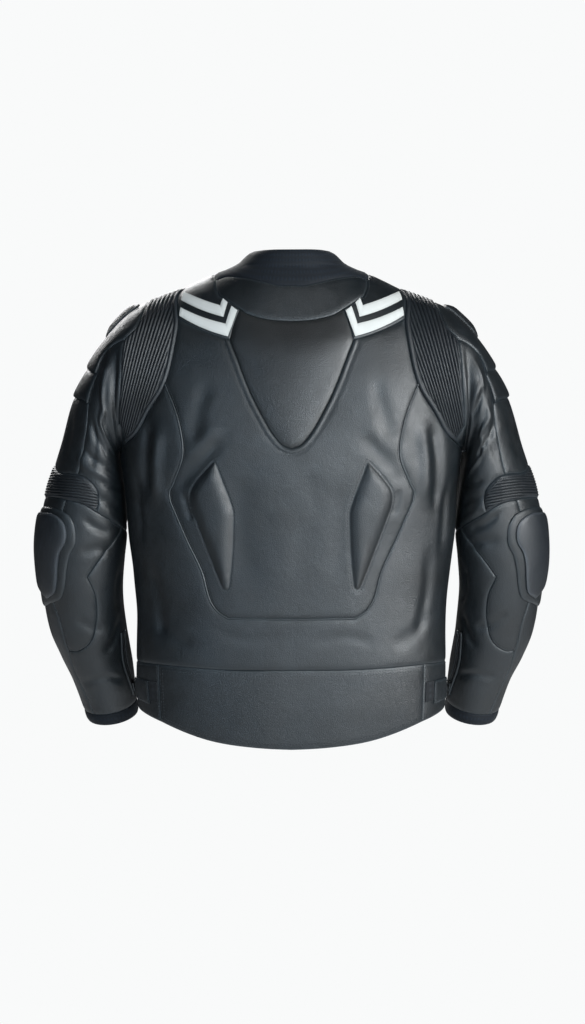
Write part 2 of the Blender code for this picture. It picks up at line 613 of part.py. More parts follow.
def torso_outlines():
    find, trace = torso.find, torso.trace
    rows = rows_of(ARMHOLE_BACK, [find(*row) for row in ARMHOLE])
    front_rows = rows_of(ARMHOLE_FRONT, FRONT_ROWS)
    under = ARMHOLE_BACK[-1]
    neck_back = trace(NECK_SEAM)
    ridge_neck = find(107, 12.5)
    front_edge_x = FRONT_MIDDLE - ZIP_HALF
    neck_at = smooth([0, 1, 2], [neck_back[-1], ridge_neck, Vector((front_edge_x, TORSO_KNOTS[2] + 6))])
    front_yoke = ARMHOLE_FRONT[front_rows[FRONT_YOKE_ROW]]
    yoke_neck = neck_at(1.4)
    neck_side = [neck_at(i / 5) for i in range(6)]
    neck_over = [neck_at(1 + i / 5) for i in range(3)]
    neck_front = [neck_at(1.4 + i / 10) for i in range(7)]
    band_end = trace(BAND_END)
    band_stripes = trace(BAND_TO_STRIPES)
    band_yoke = trace(BAND_TO_YOKE)
    yoke_edge = trace(YOKE_EDGE)
    yoke_seam = trace(YOKE_SEAM, 18)
    shoulder_low = spaced([yoke_edge[-1], ARMHOLE_BACK[rows[1]]], SEAM_STEP)
    front_seam = spaced([front_yoke, yoke_neck], SEAM_STEP)
    main = trace(MAIN_UPPER)[:-1] + trace(MAIN_CORNER, 9)[:-1] + trace(MAIN_LOWER, 18)[:-1] + trace(MAIN_BOTTOM)
    main[0] = ARMHOLE_BACK[rows[3]]
    belt_back = trace(BELT_TOP)
    belt_side = trace(BELT_SIDE)
    hem_back = trace(HEM)
    belt_row = belt_back[-1].y
    hem_row = hem_back[-1].y - 6
    side = spaced([under, Vector((SIDE, under.y + 60)), Vector((SIDE, belt_row))], SEAM_STEP * 1.4)
    belt_flank = spaced([belt_back[-1], side[-1]], SEAM_STEP)
    belt_front = spaced([side[-1], Vector((front_edge_x, belt_row - 4))], SEAM_STEP * 1.3)
    side_low = spaced([side[-1], Vector((SIDE, hem_row))], SEAM_STEP)
    hem_flank = spaced([hem_back[-1], side_low[-1]], SEAM_STEP)
    hem_front = spaced([side_low[-1], Vector((front_edge_x, hem_row - 6))], SEAM_STEP * 1.3)
    edge_upper = spaced([neck_front[-1], belt_front[-1]], SEAM_STEP * 1.4)
    edge_lower = spaced([belt_front[-1], hem_front[-1]], SEAM_STEP)
    collar_front = Vector((front_edge_x, 2))
    edge_collar = spaced([collar_front, neck_front[-1]], SEAM_STEP)
    middle = [Vector((FRONT_MIDDLE, place.y)) for place in edge_collar + edge_upper[1:] + edge_lower[1:]]
    collar_top = spaced([Vector((0, 2)), collar_front], SEAM_STEP)
    top_middle, back_middle = Vector((0, 2)), neck_back[0]
    down = ARMHOLE_BACK
    outlines = {
        "collar": chain([back_middle, top_middle], collar_top, edge_collar,
                        back(neck_front), back(neck_over), back(neck_side), back(neck_back)),
        "neck_band": chain(neck_back, band_end, band_stripes, band_yoke, [band_yoke[-1], back_middle]),
        "back_yoke": chain(back(band_yoke), yoke_edge, yoke_seam, [yoke_seam[-1], band_yoke[-1]]),
        "shoulder": chain(neck_side, neck_over, back(front_seam), ARMHOLE_FRONT[front_rows[FRONT_YOKE_ROW]:],
                          down[:rows[1] + 1], back(shoulder_low), back(yoke_edge), back(band_stripes),
                          back(band_end)),
        "back_main": chain(shoulder_low, down[rows[1]:rows[3] + 1], main, [main[-1], yoke_seam[-1]],
                           back(yoke_seam)),
        "back_surround": chain(down[rows[3]:], side, back(belt_flank), back(belt_back),
                               [belt_back[0], main[-1]], back(main)),
        "front": chain(front_seam, neck_front, edge_upper, back(belt_front), back(side),
                       ARMHOLE_FRONT[:front_rows[FRONT_YOKE_ROW] + 1]),
        "waist_back": chain(belt_back, belt_side, back(hem_back), [hem_back[0], belt_back[0]]),
        "waist_side": chain(belt_flank, side_low, back(hem_flank), back(belt_side)),
        "waist_front": chain(belt_front, edge_lower, back(hem_front), back(side_low)),
        "front_zip": chain(edge_collar, edge_upper, edge_lower, [edge_lower[-1], middle[-1]], back(middle),
                           [middle[0], edge_collar[0]]),
        "stripe_upper": chain([find(*p) for p in STRIPE_UPPER + STRIPE_UPPER[:1]]),
        "stripe_lower": chain([find(*p) for p in STRIPE_LOWER + STRIPE_LOWER[:1]]),
        "strap": chain(box_on(find(*STRAP_AT), STRAP_LENGTH, STRAP_HEIGHT)),
        "strap_loop": chain(box_on(find(*STRAP_AT) - Vector((LOOP_LENGTH + 1, 0)), LOOP_LENGTH, STRAP_HEIGHT - 5)),
    }
    pad = [find(*p) for p in PAD]
    return outlines, pad


def build_torso():
    outlines, pad = torso_outlines()
    pad_middle = sum(pad, Vector((0, 0))) / len(pad)
    crown = [pad_middle.lerp(place, 0.86) for place in pad]
    lines = [(pad + pad[:1], 0.0), (crown + crown[:1], PAD_HEIGHT)]
    lines += [(spaced([start, end], PITCH * 0.7), 0.0) for start, end, _, _ in torso.folds]
    layout = Layout(outlines, lines, ())

    def pad_height(place):
        on_edge = min(off_line(place, a, b) for a, b in zip(crown, crown[1:] + crown[:1])) < 0.3
        return PAD_HEIGHT if on_edge or inside(place, crown) else 0.0

    across = {"collar": (KNIT, SOFT_KNIT), "neck_band": (LEATHER, BLACK_LEATHER),
              "back_yoke": (LEATHER, BLACK_LEATHER), "back_main": (LEATHER, BLACK_LEATHER),
              "back_surround": (LEATHER, BLACK_LEATHER), "waist_back": (LEATHER, BLACK_LEATHER)}
    for name, (wall, look) in across.items():
        relief = pad_height if name == "back_main" else None
        add_across(name, *sew(torso, layout, name, wall, ways=TORSO_EDGE_WAYS, relief=relief), look)
    add_across("front_zip", *sew(torso, layout, "front_zip", LEATHER), ZIP_TAPE)
    for name in ("shoulder", "front", "waist_side", "waist_front"):
        add_pair(name, *sew(torso, layout, name, LEATHER, ways=TORSO_EDGE_WAYS), BLACK_LEATHER)
    for name in ("stripe_upper", "stripe_lower"):
        add_pair(name, *sew(torso, layout, name, STRIPE_WALL, LIE_GAP + STRIPE_WALL, seam=False), WHITE_LEATHER)
    add_pair("strap", *sew(torso, layout, "strap", STRAP_WALL, LIE_GAP + STRAP_WALL, seam=False), BLACK_LEATHER)
    add_pair("strap_loop", *sew(torso, layout, "strap_loop", LOOP_WALL, LIE_GAP + LOOP_WALL, seam=False), WEBBING)


# ---------------------------------------------------------------- sleeves
def round_sleeve(degrees, along):
    return Vector((degrees / 180 * SLEEVE_HALF, along))


def rib_lines(outline, start, way, side, spacing, count, step):
    """Lines beside each other, kept inside an outline and just short of its seams."""
    lines = []
    for i in range(count):
        origin = start + side * (spacing * i)
        line = []
        for j in range(-80, 81):
            place = origin + way * (j * step / 8)
            near = min(off_line(place, a, b) for a, b in zip(outline, outline[1:] + outline[:1]))
            if inside(place, outline) and near > RIB_INSET:
                line.append(place)
        if len(line) > 8:
            pieces = max(1, round((line[-1] - line[0]).length / step))
            kept = [line[0].lerp(line[-1], k / pieces) for k in range(pieces + 1)]
            lines.append((kept, RIB_HEIGHT if i % 2 else 0.0))
    return lines


def sleeve_outlines():
    find, trace = sleeve.find, sleeve.trace
    back_edge = [Vector((angle / pi * SLEEVE_HALF, 0)) for angle in BACK_ANGLES]
    front_edge = [Vector((angle / pi * SLEEVE_HALF, 0)) for angle in FRONT_ANGLES]
    front_edge[0].x = -SLEEVE_HALF
    back_edge[-1].x = SLEEVE_HALF
    rib_front = min(range(len(front_edge)), key=lambda i: abs(front_edge[i].x - RIB_FRONT / 180 * SLEEVE_HALF))
    rib_foot = len(back_edge) - 2
    rib_corner = find(*RIB_EDGE[0])
    rib_ridge = round_sleeve(0, SLEEVE_KNOTS[1])
    rib_over = round_sleeve(RIB_FRONT, SLEEVE_KNOTS[1] - 4)
    rib_edge = trace(RIB_EDGE)
    rib_low = spaced([rib_edge[-1], back_edge[rib_foot]], SEAM_STEP)
    rib_top = spaced([rib_over, rib_ridge, find(*RIB_TOP), rib_corner], SEAM_STEP)
    rib_side = [front_edge[rib_front], rib_over]
    cap_back = trace(CAP_BACK)
    mid_at = rows_of(cap_back, [find(*CAP_BACK[CAP_MID_ROW])])[0]
    cap_front_x = CAP_FRONT / 180 * SLEEVE_HALF
    mid_outer, low_outer = find(*CAP_MID_FOOT), find(*CAP_LOW_FOOT)
    cap_mid_foot = spaced([cap_back[mid_at], mid_outer, Vector((cap_front_x, mid_outer.y))], SEAM_STEP)
    cap_low_foot = spaced([cap_back[-1], low_outer, Vector((cap_front_x, low_outer.y))], SEAM_STEP)
    cap_front = [cap_low_foot[-1], cap_mid_foot[-1]]
    cap_front_up = [cap_mid_foot[-1], Vector((cap_front_x, SLEEVE_KNOTS[1])), rib_over]
    arm_seam = trace(ARM_SEAM)
    rib_b_top = trace(ELBOW_RIB_TOP)
    rib_b_end = trace(ELBOW_RIB_END, 14)
    rib_b_low = trace(ELBOW_RIB_LOW)
    outer_top_place, outer_low_place = (find(*point) for point in ELBOW_RIB_OUTER)
    top_front = round_sleeve(ELBOW_FRONT, outer_top_place.y - 6)
    low_front = round_sleeve(ELBOW_FRONT, outer_low_place.y - 2)
    rib_b_over = spaced([top_front, outer_top_place, rib_b_top[0]], SEAM_STEP)
    rib_b_under = spaced([rib_b_low[-1], outer_low_place, low_front], SEAM_STEP)
    elbow_in = spaced([rib_b_end[-1], find(*ELBOW_SEAM), Vector((SLEEVE_HALF, SLEEVE_KNOTS[5]))], SEAM_STEP)
    elbow_front = spaced([Vector((-SLEEVE_HALF, SLEEVE_KNOTS[5])), Vector((-SLEEVE_HALF * 0.6, SLEEVE_KNOTS[5] + 8)),
                          low_front], SEAM_STEP * 1.3)
    curve_start = elbow_in[-2]
    fore_curve = spaced([curve_start, find(*FOREARM_CURVE[0])], SEAM_STEP)[:-1] + trace(FOREARM_CURVE, 18)
    outer_top = spaced([rib_b_low[-1]] + [find(*point) for point in OUTER_SEAM], SEAM_STEP)
    outer_mid = trace(FOREARM_OUTER)
    cuff_at = SLEEVE_END - CUFF_HEIGHT
    outer_low = trace(FOREARM_LOW)
    outer_low[-1] = Vector((outer_low[-1].x, cuff_at))
    cuff_x = outer_low[-1].x
    cuff_back = spaced([Vector((cuff_x, cuff_at)), Vector((SLEEVE_HALF, cuff_at))], SEAM_STEP * 1.3)
    cuff_front = spaced([Vector((-SLEEVE_HALF, cuff_at)), Vector((cuff_x, cuff_at))], SEAM_STEP * 1.3)
    hem = spaced([Vector((-SLEEVE_HALF, SLEEVE_END)), Vector((SLEEVE_HALF, SLEEVE_END))], SEAM_STEP * 1.3)
    under = spaced([back_edge[-1], elbow_in[-1]], SEAM_STEP)
    under_front = [Vector((-place.x, place.y)) for place in under]
    low = spaced([elbow_in[-1], Vector((SLEEVE_HALF, cuff_at))], SEAM_STEP)
    low_front_side = [Vector((-place.x, place.y)) for place in low]
    end = [low[-1], Vector((SLEEVE_HALF, SLEEVE_END))]
    end_front = [Vector((-SLEEVE_HALF, SLEEVE_END)), low_front_side[-1]]
    zip_line = [find(*point) for point in SLEEVE_ZIP]
    zip_left = [place + Vector((-SLEEVE_ZIP_HALF, 0)) for place in zip_line]
    zip_right = [place + Vector((SLEEVE_ZIP_HALF, 0)) for place in zip_line]

    def wrapped(rows):
        return [round_sleeve(degrees, find(x, z).y) for degrees, x, z in rows]

    def cup_outline(seen, over):
        edge = trace(seen, 16)
        return chain(edge, spaced([edge[-1]] + wrapped(over) + [edge[0]], 20))

    outlines = {
        "shoulder_rib": chain(front_edge[rib_front:], back_edge[:rib_foot + 1], back(rib_low), back(rib_edge),
                              back(rib_top), back(rib_side)),
        "cap_mid": chain(rib_top, cap_back[:mid_at + 1], cap_mid_foot, cap_front_up),
        "cap_low": chain(cap_back[mid_at:], cap_low_foot, cap_front, back(cap_mid_foot)),
        "arm_back": chain(rib_edge, rib_low, back_edge[rib_foot:], under, back(elbow_in), back(rib_b_end),
                          back(rib_b_top), back(arm_seam), back(cap_back)),
        "arm_front": chain(front_edge[:rib_front + 1], rib_side, back(cap_front_up), back(cap_front),
                           back(cap_low_foot), arm_seam, back(rib_b_over), [top_front, low_front],
                           back(elbow_front), back(under_front)),
        "elbow_rib": chain(rib_b_over, rib_b_top, rib_b_end, rib_b_low, rib_b_under, [low_front, top_front]),
        "forearm_back": chain(rib_b_low, outer_top, outer_mid, back(fore_curve),
                              back(elbow_in[:-1])),
        "forearm_under": chain(fore_curve, outer_low, cuff_back, back(low), [elbow_in[-1], curve_start]),
        "forearm_front": chain(elbow_front, back(rib_b_under), outer_top, outer_mid, outer_low,
                               back(cuff_front), back(low_front_side)),
        "cuff": chain(cuff_front, cuff_back, end, back(hem), end_front),
        "cap_top": chain(wrapped(CAP_TOP + CAP_TOP[:1])),
        "elbow_frame": cup_outline(ELBOW_FRAME, FRAME_OVER),
        "elbow_cup": cup_outline(ELBOW_CUP, CUP_OVER),
        "sleeve_zip": chain(zip_left, [zip_left[-1], zip_right[-1]], back(zip_right), [zip_right[0], zip_left[0]]),
    }
    return outlines, {"cap_mid": cap_mid_foot, "cap_low": cap_low_foot}


def build_sleeves():
    outlines, feet = sleeve_outlines()
    shoulder, elbow = outlines["shoulder_rib"], outlines["elbow_rib"]
    way = Vector((1, RIB_SLOPE)).normalized()
    side = Vector((-way.y, way.x))
    shoulder_ribs = rib_lines(shoulder, Vector((20, -70)), way, side, RIB_SPACING / 2, 64, 30)
    elbow_way = Vector((1, 0.12)).normalized()
    elbow_side = Vector((-elbow_way.y, elbow_way.x))
    top, low = min(p.y for p in elbow), max(p.y for p in elbow)
    elbow_ribs = rib_lines(elbow, Vector((30, top)), elbow_way, elbow_side, (low - top) / ELBOW_RIBS / 2,
                           ELBOW_RIBS * 2, 30)
    creases = [(spaced([start, end], PITCH * 0.7), 0.0) for start, end, _, _ in sleeve.folds]
    layout = Layout(outlines, shoulder_ribs + elbow_ribs + creases, ("shoulder_rib", "elbow_rib"))

    def step_over(foot):
        def height(place):
            off = min(off_line(place, a, b) for a, b in zip(foot, foot[1:]))
            return CAP_STEP * max(0.0, 1 - off / CAP_RISE)
        return height

    cup = outlines["cap_top"]

    def dome(place):
        off = min(off_line(place, a, b) for a, b in zip(cup, cup[1:] + cup[:1]))
        return CAP_DOME * min(1.0, off / 12.0)

    for name in ("shoulder_rib", "elbow_rib"):
        add_pair(name, *sew(sleeve, layout, name, LEATHER, ways=SLEEVE_EDGE_WAYS), RIBBED)
    for name in ("arm_back", "arm_front", "forearm_back", "forearm_under", "forearm_front"):
        add_pair(name, *sew(sleeve, layout, name, LEATHER, ways=SLEEVE_EDGE_WAYS), BLACK_LEATHER)
    for name in ("cap_mid", "cap_low"):
        add_pair(name, *sew(sleeve, layout, name, LEATHER, relief=step_over(feet[name])), BLACK_LEATHER)
    add_pair("cuff", *sew(sleeve, layout, "cuff", KNIT), SOFT_KNIT)
    add_pair("cap_top", *sew(sleeve, layout, "cap_top", CAP_WALL, LIE_GAP + CAP_WALL, relief=dome,
                             rests=step_over(feet["cap_mid"]), seam=False), CUP)
    add_pair("elbow_frame", *sew(sleeve, layout, "elbow_frame", CAP_WALL, LIE_GAP + CAP_WALL, seam=False),
             BLACK_LEATHER)
    add_pair("elbow_cup", *sew(sleeve, layout, "elbow_cup", CUP_WALL, 2 * LIE_GAP + CAP_WALL + CUP_WALL,
                               seam=False), CUP)
    add_pair("sleeve_zip", *sew(sleeve, layout, "sleeve_zip", ZIP_WALL, LIE_GAP + ZIP_WALL, seam=False), ZIP_TAPE)


# ---------------------------------------------------------------- zip sliders and their pull tabs
def box_object(name, box, place, collection):
    """A box from a row of the tables above, standing at a place with its axes."""
    row = dict(zip(BOX_COLUMNS, box))
    middle = Vector((row["across"], row["along"], row["out"])) * METRES
    size = Vector((row["width"], row["length"], row["height"])) * METRES
    shape = bmesh.new()
    bmesh.ops.create_cube(shape, size=1, matrix=Matrix.Translation(middle) @ Matrix.Diagonal(size).to_4x4())
    mesh = bpy.data.meshes.new(name)
    shape.to_mesh(mesh)
    shape.free()
    mesh.materials.append(METAL)
    made = bpy.data.objects.new(name, mesh)
    made.matrix_world = place
    collection.objects.link(made)
    return made


def add_fitting(name, boxes, place):
    """A hard piece of several boxes joined to one body."""
    made = box_object(name, boxes[0], place, parts)
    for number, box in enumerate(boxes[1:]):
        other = box_object(f"{name}_box_{number}", box, place, joined)
        other.hide_render = True
        other.display_type = "WIRE"
        union = made.modifiers.new(f"box_{number}", "BOOLEAN")
        union.operation = "UNION"
        union.object = other


def stand_on(surface, place, towards, lift):
    """Where a fitting stands on a surface, and its ways along and outward."""
    out = surface.normal(place)
    along = surface.point(towards) - surface.point(place)
    along = (along - out * along.dot(out)).normalized()
    return surface.point(place) + out * lift, along, out


def other_side(stand):
    return [Vector((-v.x, v.y, v.z)) for v in stand]


def add_zip_fittings(slider, tab, stand):
    at, along, out = stand
    turned = Matrix((along.cross(out), along, out)).transposed().to_4x4()
    add_fitting(slider, SLIDER_BOXES, Matrix.Translation(at * METRES) @ turned)
    add_fitting(tab, TAB_BOXES, Matrix.Translation((at + out * PIN_HEIGHT) * METRES) @ turned)


def front_stand():
    place = Vector((FRONT_MIDDLE, FRONT_SLIDER))
    return stand_on(torso, place, place + Vector((0, 5)), LIE_GAP)


def sleeve_stand():
    start, end = (sleeve.find(*point) for point in SLEEVE_ZIP[1:])
    return stand_on(sleeve, start.lerp(end, SLEEVE_SLIDER), end, 2 * LIE_GAP + ZIP_WALL)


build_torso()
build_sleeves()
add_zip_fittings("front_slider", "front_pull_tab", front_stand())
add_zip_fittings("sleeve_slider_L", "sleeve_pull_tab_L", sleeve_stand())
add_zip_fittings("sleeve_slider_R", "sleeve_pull_tab_R", other_side(sleeve_stand()))
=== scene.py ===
"""Leather motorcycle jacket, filled out with no wearer, sewn together panel by panel over its CAD frame.

The front faces -Y and the wearer's left is +X. Sizes are millimetres until a mesh is made.
Each panel is an outline on one of three smooth forms, which are laid flat as (across, along).
"""
from math import pi, radians

import bmesh
import bpy
import numpy as np
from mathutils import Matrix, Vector
from mathutils.geometry import delaunay_2d_cdt
from mathutils.kdtree import KDTree


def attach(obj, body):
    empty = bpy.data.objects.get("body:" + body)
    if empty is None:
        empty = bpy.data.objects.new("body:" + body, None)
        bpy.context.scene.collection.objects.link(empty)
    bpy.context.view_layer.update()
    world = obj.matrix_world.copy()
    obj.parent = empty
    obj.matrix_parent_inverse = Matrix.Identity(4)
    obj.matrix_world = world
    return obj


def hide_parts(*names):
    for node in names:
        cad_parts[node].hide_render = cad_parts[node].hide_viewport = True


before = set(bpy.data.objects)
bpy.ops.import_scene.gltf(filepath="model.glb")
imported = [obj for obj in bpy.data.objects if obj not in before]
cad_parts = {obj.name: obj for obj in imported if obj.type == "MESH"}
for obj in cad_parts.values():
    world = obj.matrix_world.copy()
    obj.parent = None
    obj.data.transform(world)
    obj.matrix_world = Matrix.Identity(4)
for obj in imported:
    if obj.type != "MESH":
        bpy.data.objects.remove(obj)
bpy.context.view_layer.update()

# ---------------------------------------------------------------- centre back panel
# The large middle panel of the back, cut from 1.2 mm cowhide and lined to 2 mm. Two long lozenges of
# foam are sewn in behind it and stand out, with a welt and a row of stitches round each.
METRES = 0.001
LEATHER = 2.0             # wall of the leather
SEAM_GAP = 0.3            # between two panels
PITCH = 4.2               # between points inside a panel
STEP = 4.0                # between points along a seam
SEAM_DIP = 1.2            # how far a seam draws the leather in
SEAM_REACH = 5.5          # and from how far
PUFF_REACH = 14.0         # from a seam to where a panel has its full swell
CREASE_STEP = 14.0        # between points along a crease
BESIDE_SEAM = (1.3, 3.0)  # rows of close points inside a panel's edge
BESIDE_LINE = (-2.4, -0.9, 0.9, 2.4, 4.4)   # and beside a line on it
LEAST_OFF = 1.1           # from the edge to the first of them
ROW_HEIGHT = 0.87         # of the pitch, from one row of points to the next, so that they lie in triangles
SHARP = radians(62)       # a fold steeper than this shows as an edge
UNEVEN = ((170, 0.8), (105, 0.4), (64, 0.16))   # wave lengths and depths of the hide's own unevenness
UNEVEN_SEED = 7
FIND_STEPS, FIND_REACH = 14, 20   # how a place is looked for that shows at a given x and z
HANDS = {"L": 1, "R": -1}
EYE_BEHIND, EYE_HEIGHT = 3500.0, -320.0   # seams are given as seen from here, in x and z
SQUARENESS = 2.35         # of the torso's rings: 2 is an ellipse
# torso rings from the collar's edge down: side x, side z, back y, back z, front y, front z
TORSO_RINGS = np.array((
    (49, 46, 59, 42.5, 61, 26), (61, 39, 62, 34, 65, 16), (74, 26.5, 66, 19.5, 72, 2),
    (90, 18.5, 76, -2, 84, -26), (106, 13, 87, -30, 93, -60), (151, -8, 99, -68, 104, -100),
    (193, -26, 109, -108, 111, -140),
    (222, -62, 117, -150, 115, -180), (237, -112, 122, -190, 117, -212), (241, -170, 125, -228, 118, -245),
    (240, -234, 126, -270, 118, -282), (232, -292, 124, -312, 118, -320), (228, -345, 121, -355, 117, -358),
    (220.5, -405, 118, -408, 116, -408), (216.3, -460, 116, -462, 115, -462),
    (216.5, -532, 114.5, -538, 114, -532), (213.5, -612, 108, -662, 112, -600)), float)
CHEST = 11                # the ring on which across is measured
ARMHOLE = ((151, -8), (159, -49), (165, -94), (177.5, -142), (200, -180), (220, -214), (239.5, -236))


def running(points):
    """The distance along the points from the first to each."""
    steps = np.linalg.norm(np.diff(points, axis=0), axis=1)
    return np.concatenate(([0.0], np.cumsum(steps)))


def smooth(knots, values, at):
    """A curve through the values at the knots, read at many places."""
    knots, values, at = (np.asarray(x, float) for x in (knots, values, at))
    last = len(knots) - 1
    before, after = np.maximum(np.arange(last + 1) - 1, 0), np.minimum(np.arange(last + 1) + 1, last)
    wide = (-1,) + (1,) * (values.ndim - 1)
    slopes = (values[after] - values[before]) / (knots[after] - knots[before]).reshape(wide)
    i = np.clip(np.searchsorted(knots, at, side="right") - 1, 0, last - 1)
    span = (knots[i + 1] - knots[i]).reshape(wide)
    t = (at - knots[i]).reshape(wide) / span
    return (values[i] * (1 + 2 * t) * (1 - t) ** 2 + slopes[i] * span * t * (1 - t) ** 2
            + values[i + 1] * t * t * (3 - 2 * t) + slopes[i + 1] * span * t * t * (t - 1))


def spaced(places, step=STEP):
    """Places about a step apart on the curve through the given ones."""
    places = np.asarray(places, float)
    knots = running(places)
    at = [[0.0]]
    for start, end in zip(knots, knots[1:]):
        count = max(1, round((end - start) / step))
        at.append(start + (end - start) * np.arange(1, count + 1) / count)
    return smooth(knots, places, np.concatenate(at))


def as_seen(points):
    scale = EYE_BEHIND / (EYE_BEHIND - points[:, 1])
    return np.stack((points[:, 0] * scale, EYE_HEIGHT + (points[:, 2] - EYE_HEIGHT) * scale), 1)


def apart(points, line, closed=False):
    """The distance from each point to a line through close points."""
    tree = KDTree(len(line))
    for i, point in enumerate(line):
        tree.insert(point, i)
    tree.balance()
    near = np.array([tree.find(point)[1] for point in points], int)
    best = np.full(len(points), 1e9)
    last = len(line)
    for a, b in ((near - 1, near), (near, near + 1)):
        if closed:
            a, b = a % last, b % last
        else:
            a, b = np.clip(a, 0, last - 1), np.clip(b, 0, last - 1)
        start, run = line[a], line[b] - line[a]
        t = np.clip(np.sum((points - start) * run, 1) / np.maximum(np.sum(run * run, 1), 1e-9), 0, 1)
        best = np.minimum(best, np.linalg.norm(points - start - run * t[:, None], axis=1))
    return best


def inside(places, outline):
    hits = []
    a, b = outline, np.roll(outline, -1, 0)
    for chunk in np.array_split(places, max(1, len(places) // 3000)):
        x, y = chunk[:, :1], chunk[:, 1:]
        crossing = (a[:, 1] > y) != (b[:, 1] > y)
        at = a[:, 0] + (y - a[:, 1]) * (b[:, 0] - a[:, 0]) / (b[:, 1] - a[:, 1] + 1e-12)
        hits.append((crossing & (x < at)).sum(1) % 2 == 1)
    return np.concatenate(hits)


class Form:
    """A smooth form laid flat. Creases are rows of a line as seen or flat, a half width and a depth."""

    def __init__(self, shape, across, along, turn):
        self.shape, self.turn, self.creases = shape, turn, []
        a, v = np.meshgrid(np.arange(*across, 12.0), np.arange(*along, 12.0))
        self.starts = np.stack((a.ravel(), v.ravel()), 1)

    def find(self, *seen):
        """The flat places of what shows at the given x and z."""
        goal = np.array(seen, float)
        side = np.where(goal[:, 0] < 0, -1.0, 1.0)
        goal[:, 0] = abs(goal[:, 0])
        known = as_seen(self.shape(self.starts))
        known[:, 0] = abs(known[:, 0])
        place = np.array([self.starts[np.argmin(np.sum((known - g) ** 2, 1))] for g in goal])
        for _ in range(FIND_STEPS):
            here, right, down = (as_seen(self.shape(place + step)) for step in ((0, 0), (0.5, 0), (0, 0.5)))
            for seen_at in (here, right, down):
                seen_at[:, 0] = abs(seen_at[:, 0])
            miss, right, down = goal - here, right - here, down - here
            area = right[:, 0] * down[:, 1] - right[:, 1] * down[:, 0]
            step = np.stack((miss[:, 0] * down[:, 1] - miss[:, 1] * down[:, 0],
                             right[:, 0] * miss[:, 1] - right[:, 1] * miss[:, 0]), 1) * (0.5 / area)[:, None]
            place = place + step * (FIND_REACH / np.maximum(np.linalg.norm(step, axis=1), FIND_REACH))[:, None]
        place[:, 0] *= side
        return place

    def trace(self, seen, step=STEP):
        return spaced(self.find(*seen), step)

    def slopes(self, places):
        across = self.shape(places + (0.5, 0)) - self.shape(places - (0.5, 0))
        along = self.shape(places + (0, 0.5)) - self.shape(places - (0, 0.5))
        return across, along

    def normal(self, places):
        out = np.cross(*self.slopes(places)) * self.turn
        return out / np.linalg.norm(out, axis=1)[:, None]

    def beside(self, line, off, closed=False):
        """The line moved sideways on the form by real millimetres, to the left as it runs."""
        if closed:
            ahead = np.roll(line, -1, 0) - np.roll(line, 1, 0)
        else:
            ahead = np.gradient(line, axis=0)
        across, along = self.slopes(line)
        run = across * ahead[:, :1] + along * ahead[:, 1:]
        side = np.cross(np.cross(across, along), run)
        side /= np.maximum(np.linalg.norm(side, axis=1), 1e-9)[:, None]
        aa, ab, bb = (np.sum(p * q, 1) for p, q in ((across, across), (across, along), (along, along)))
        sa, sb = np.sum(side * across, 1), np.sum(side * along, 1)
        det = aa * bb - ab * ab
        return line + np.stack((bb * sa - ab * sb, aa * sb - ab * sa), 1) / det[:, None] * off

    def sunk(self, places, points):
        """How far creases and the leather's own unevenness draw the form in."""
        total = np.zeros(len(places))
        for line, half_width, depth in self.creases:
            low, high = line.min(0) - half_width * 2.4, line.max(0) + half_width * 2.4
            near = np.all((places > low) & (places < high), axis=1)
            if not near.any():
                continue
            spot = places[near]
            best, part = np.full(len(spot), 1e9), np.zeros(len(spot))
            run = running(line)
            for i in range(len(line) - 1):
                a, way = line[i], line[i + 1] - line[i]
                t = np.clip((spot - a) @ way / (way @ way), 0, 1)
                off = np.linalg.norm(spot - a - way * t[:, None], axis=1)
                closer = off < best
                best[closer] = off[closer]
                part[closer] = ((run[i] + t * (run[i + 1] - run[i])) / run[-1])[closer]
            u = best / half_width
            taper = np.clip(np.sin(pi * (0.04 + 0.92 * part)) * 1.7, 0, 1)
            total[near] += depth * (1 - 0.85 * u * u) * np.exp(-1.15 * u * u) * taper
        rng = np.random.default_rng(UNEVEN_SEED)
        for size, depth in UNEVEN:
            for _ in range(3):
                way = rng.normal(size=3)
                way /= np.linalg.norm(way)
                total += depth * 0.55 * np.sin(points @ way * (2 * pi / size) + rng.uniform(0, 6.28))
        return total

    def crease(self, *rows):
        """Adds creases given as ((x, z), ... as seen, half width, depth)."""
        for *seen, half_width, depth in rows:
            self.creases.append((spaced(self.find(*seen), CREASE_STEP), half_width, depth))

    def hidden_crease(self, *rows):
        """The same for the sides that the photo hides, with each point's flat place."""
        for *places, half_width, depth in rows:
            self.creases.append((spaced(np.array(places, float), CREASE_STEP), half_width, depth))


def ring_at(angle, row):
    side_x, side_z, back_y, back_z, front_y, front_z = np.moveaxis(row, -1, 0)
    back = np.cos(angle) > 0
    deep = np.where(back, back_y, front_y)
    reach = (abs(np.sin(angle) / side_x) ** SQUARENESS
             + abs(np.cos(angle) / deep) ** SQUARENESS) ** (-1 / SQUARENESS)
    x, y = reach * np.sin(angle), reach * np.cos(angle)
    return np.stack((x, y, side_z + (np.where(back, back_z, front_z) - side_z) * (y / deep) ** 2), -1)


ring_steps = np.diff(TORSO_RINGS, axis=0)
TORSO_KNOTS = np.concatenate(([0], np.cumsum(
    (np.hypot(ring_steps[:, 0], ring_steps[:, 1]) + np.hypot(ring_steps[:, 2], ring_steps[:, 3])) / 2)))
ANGLES = np.linspace(0, pi, 91)
CHEST_RUN = running(ring_at(ANGLES, np.tile(TORSO_RINGS[CHEST], (91, 1)))[:, :2])
FRONT_MIDDLE = CHEST_RUN[-1]


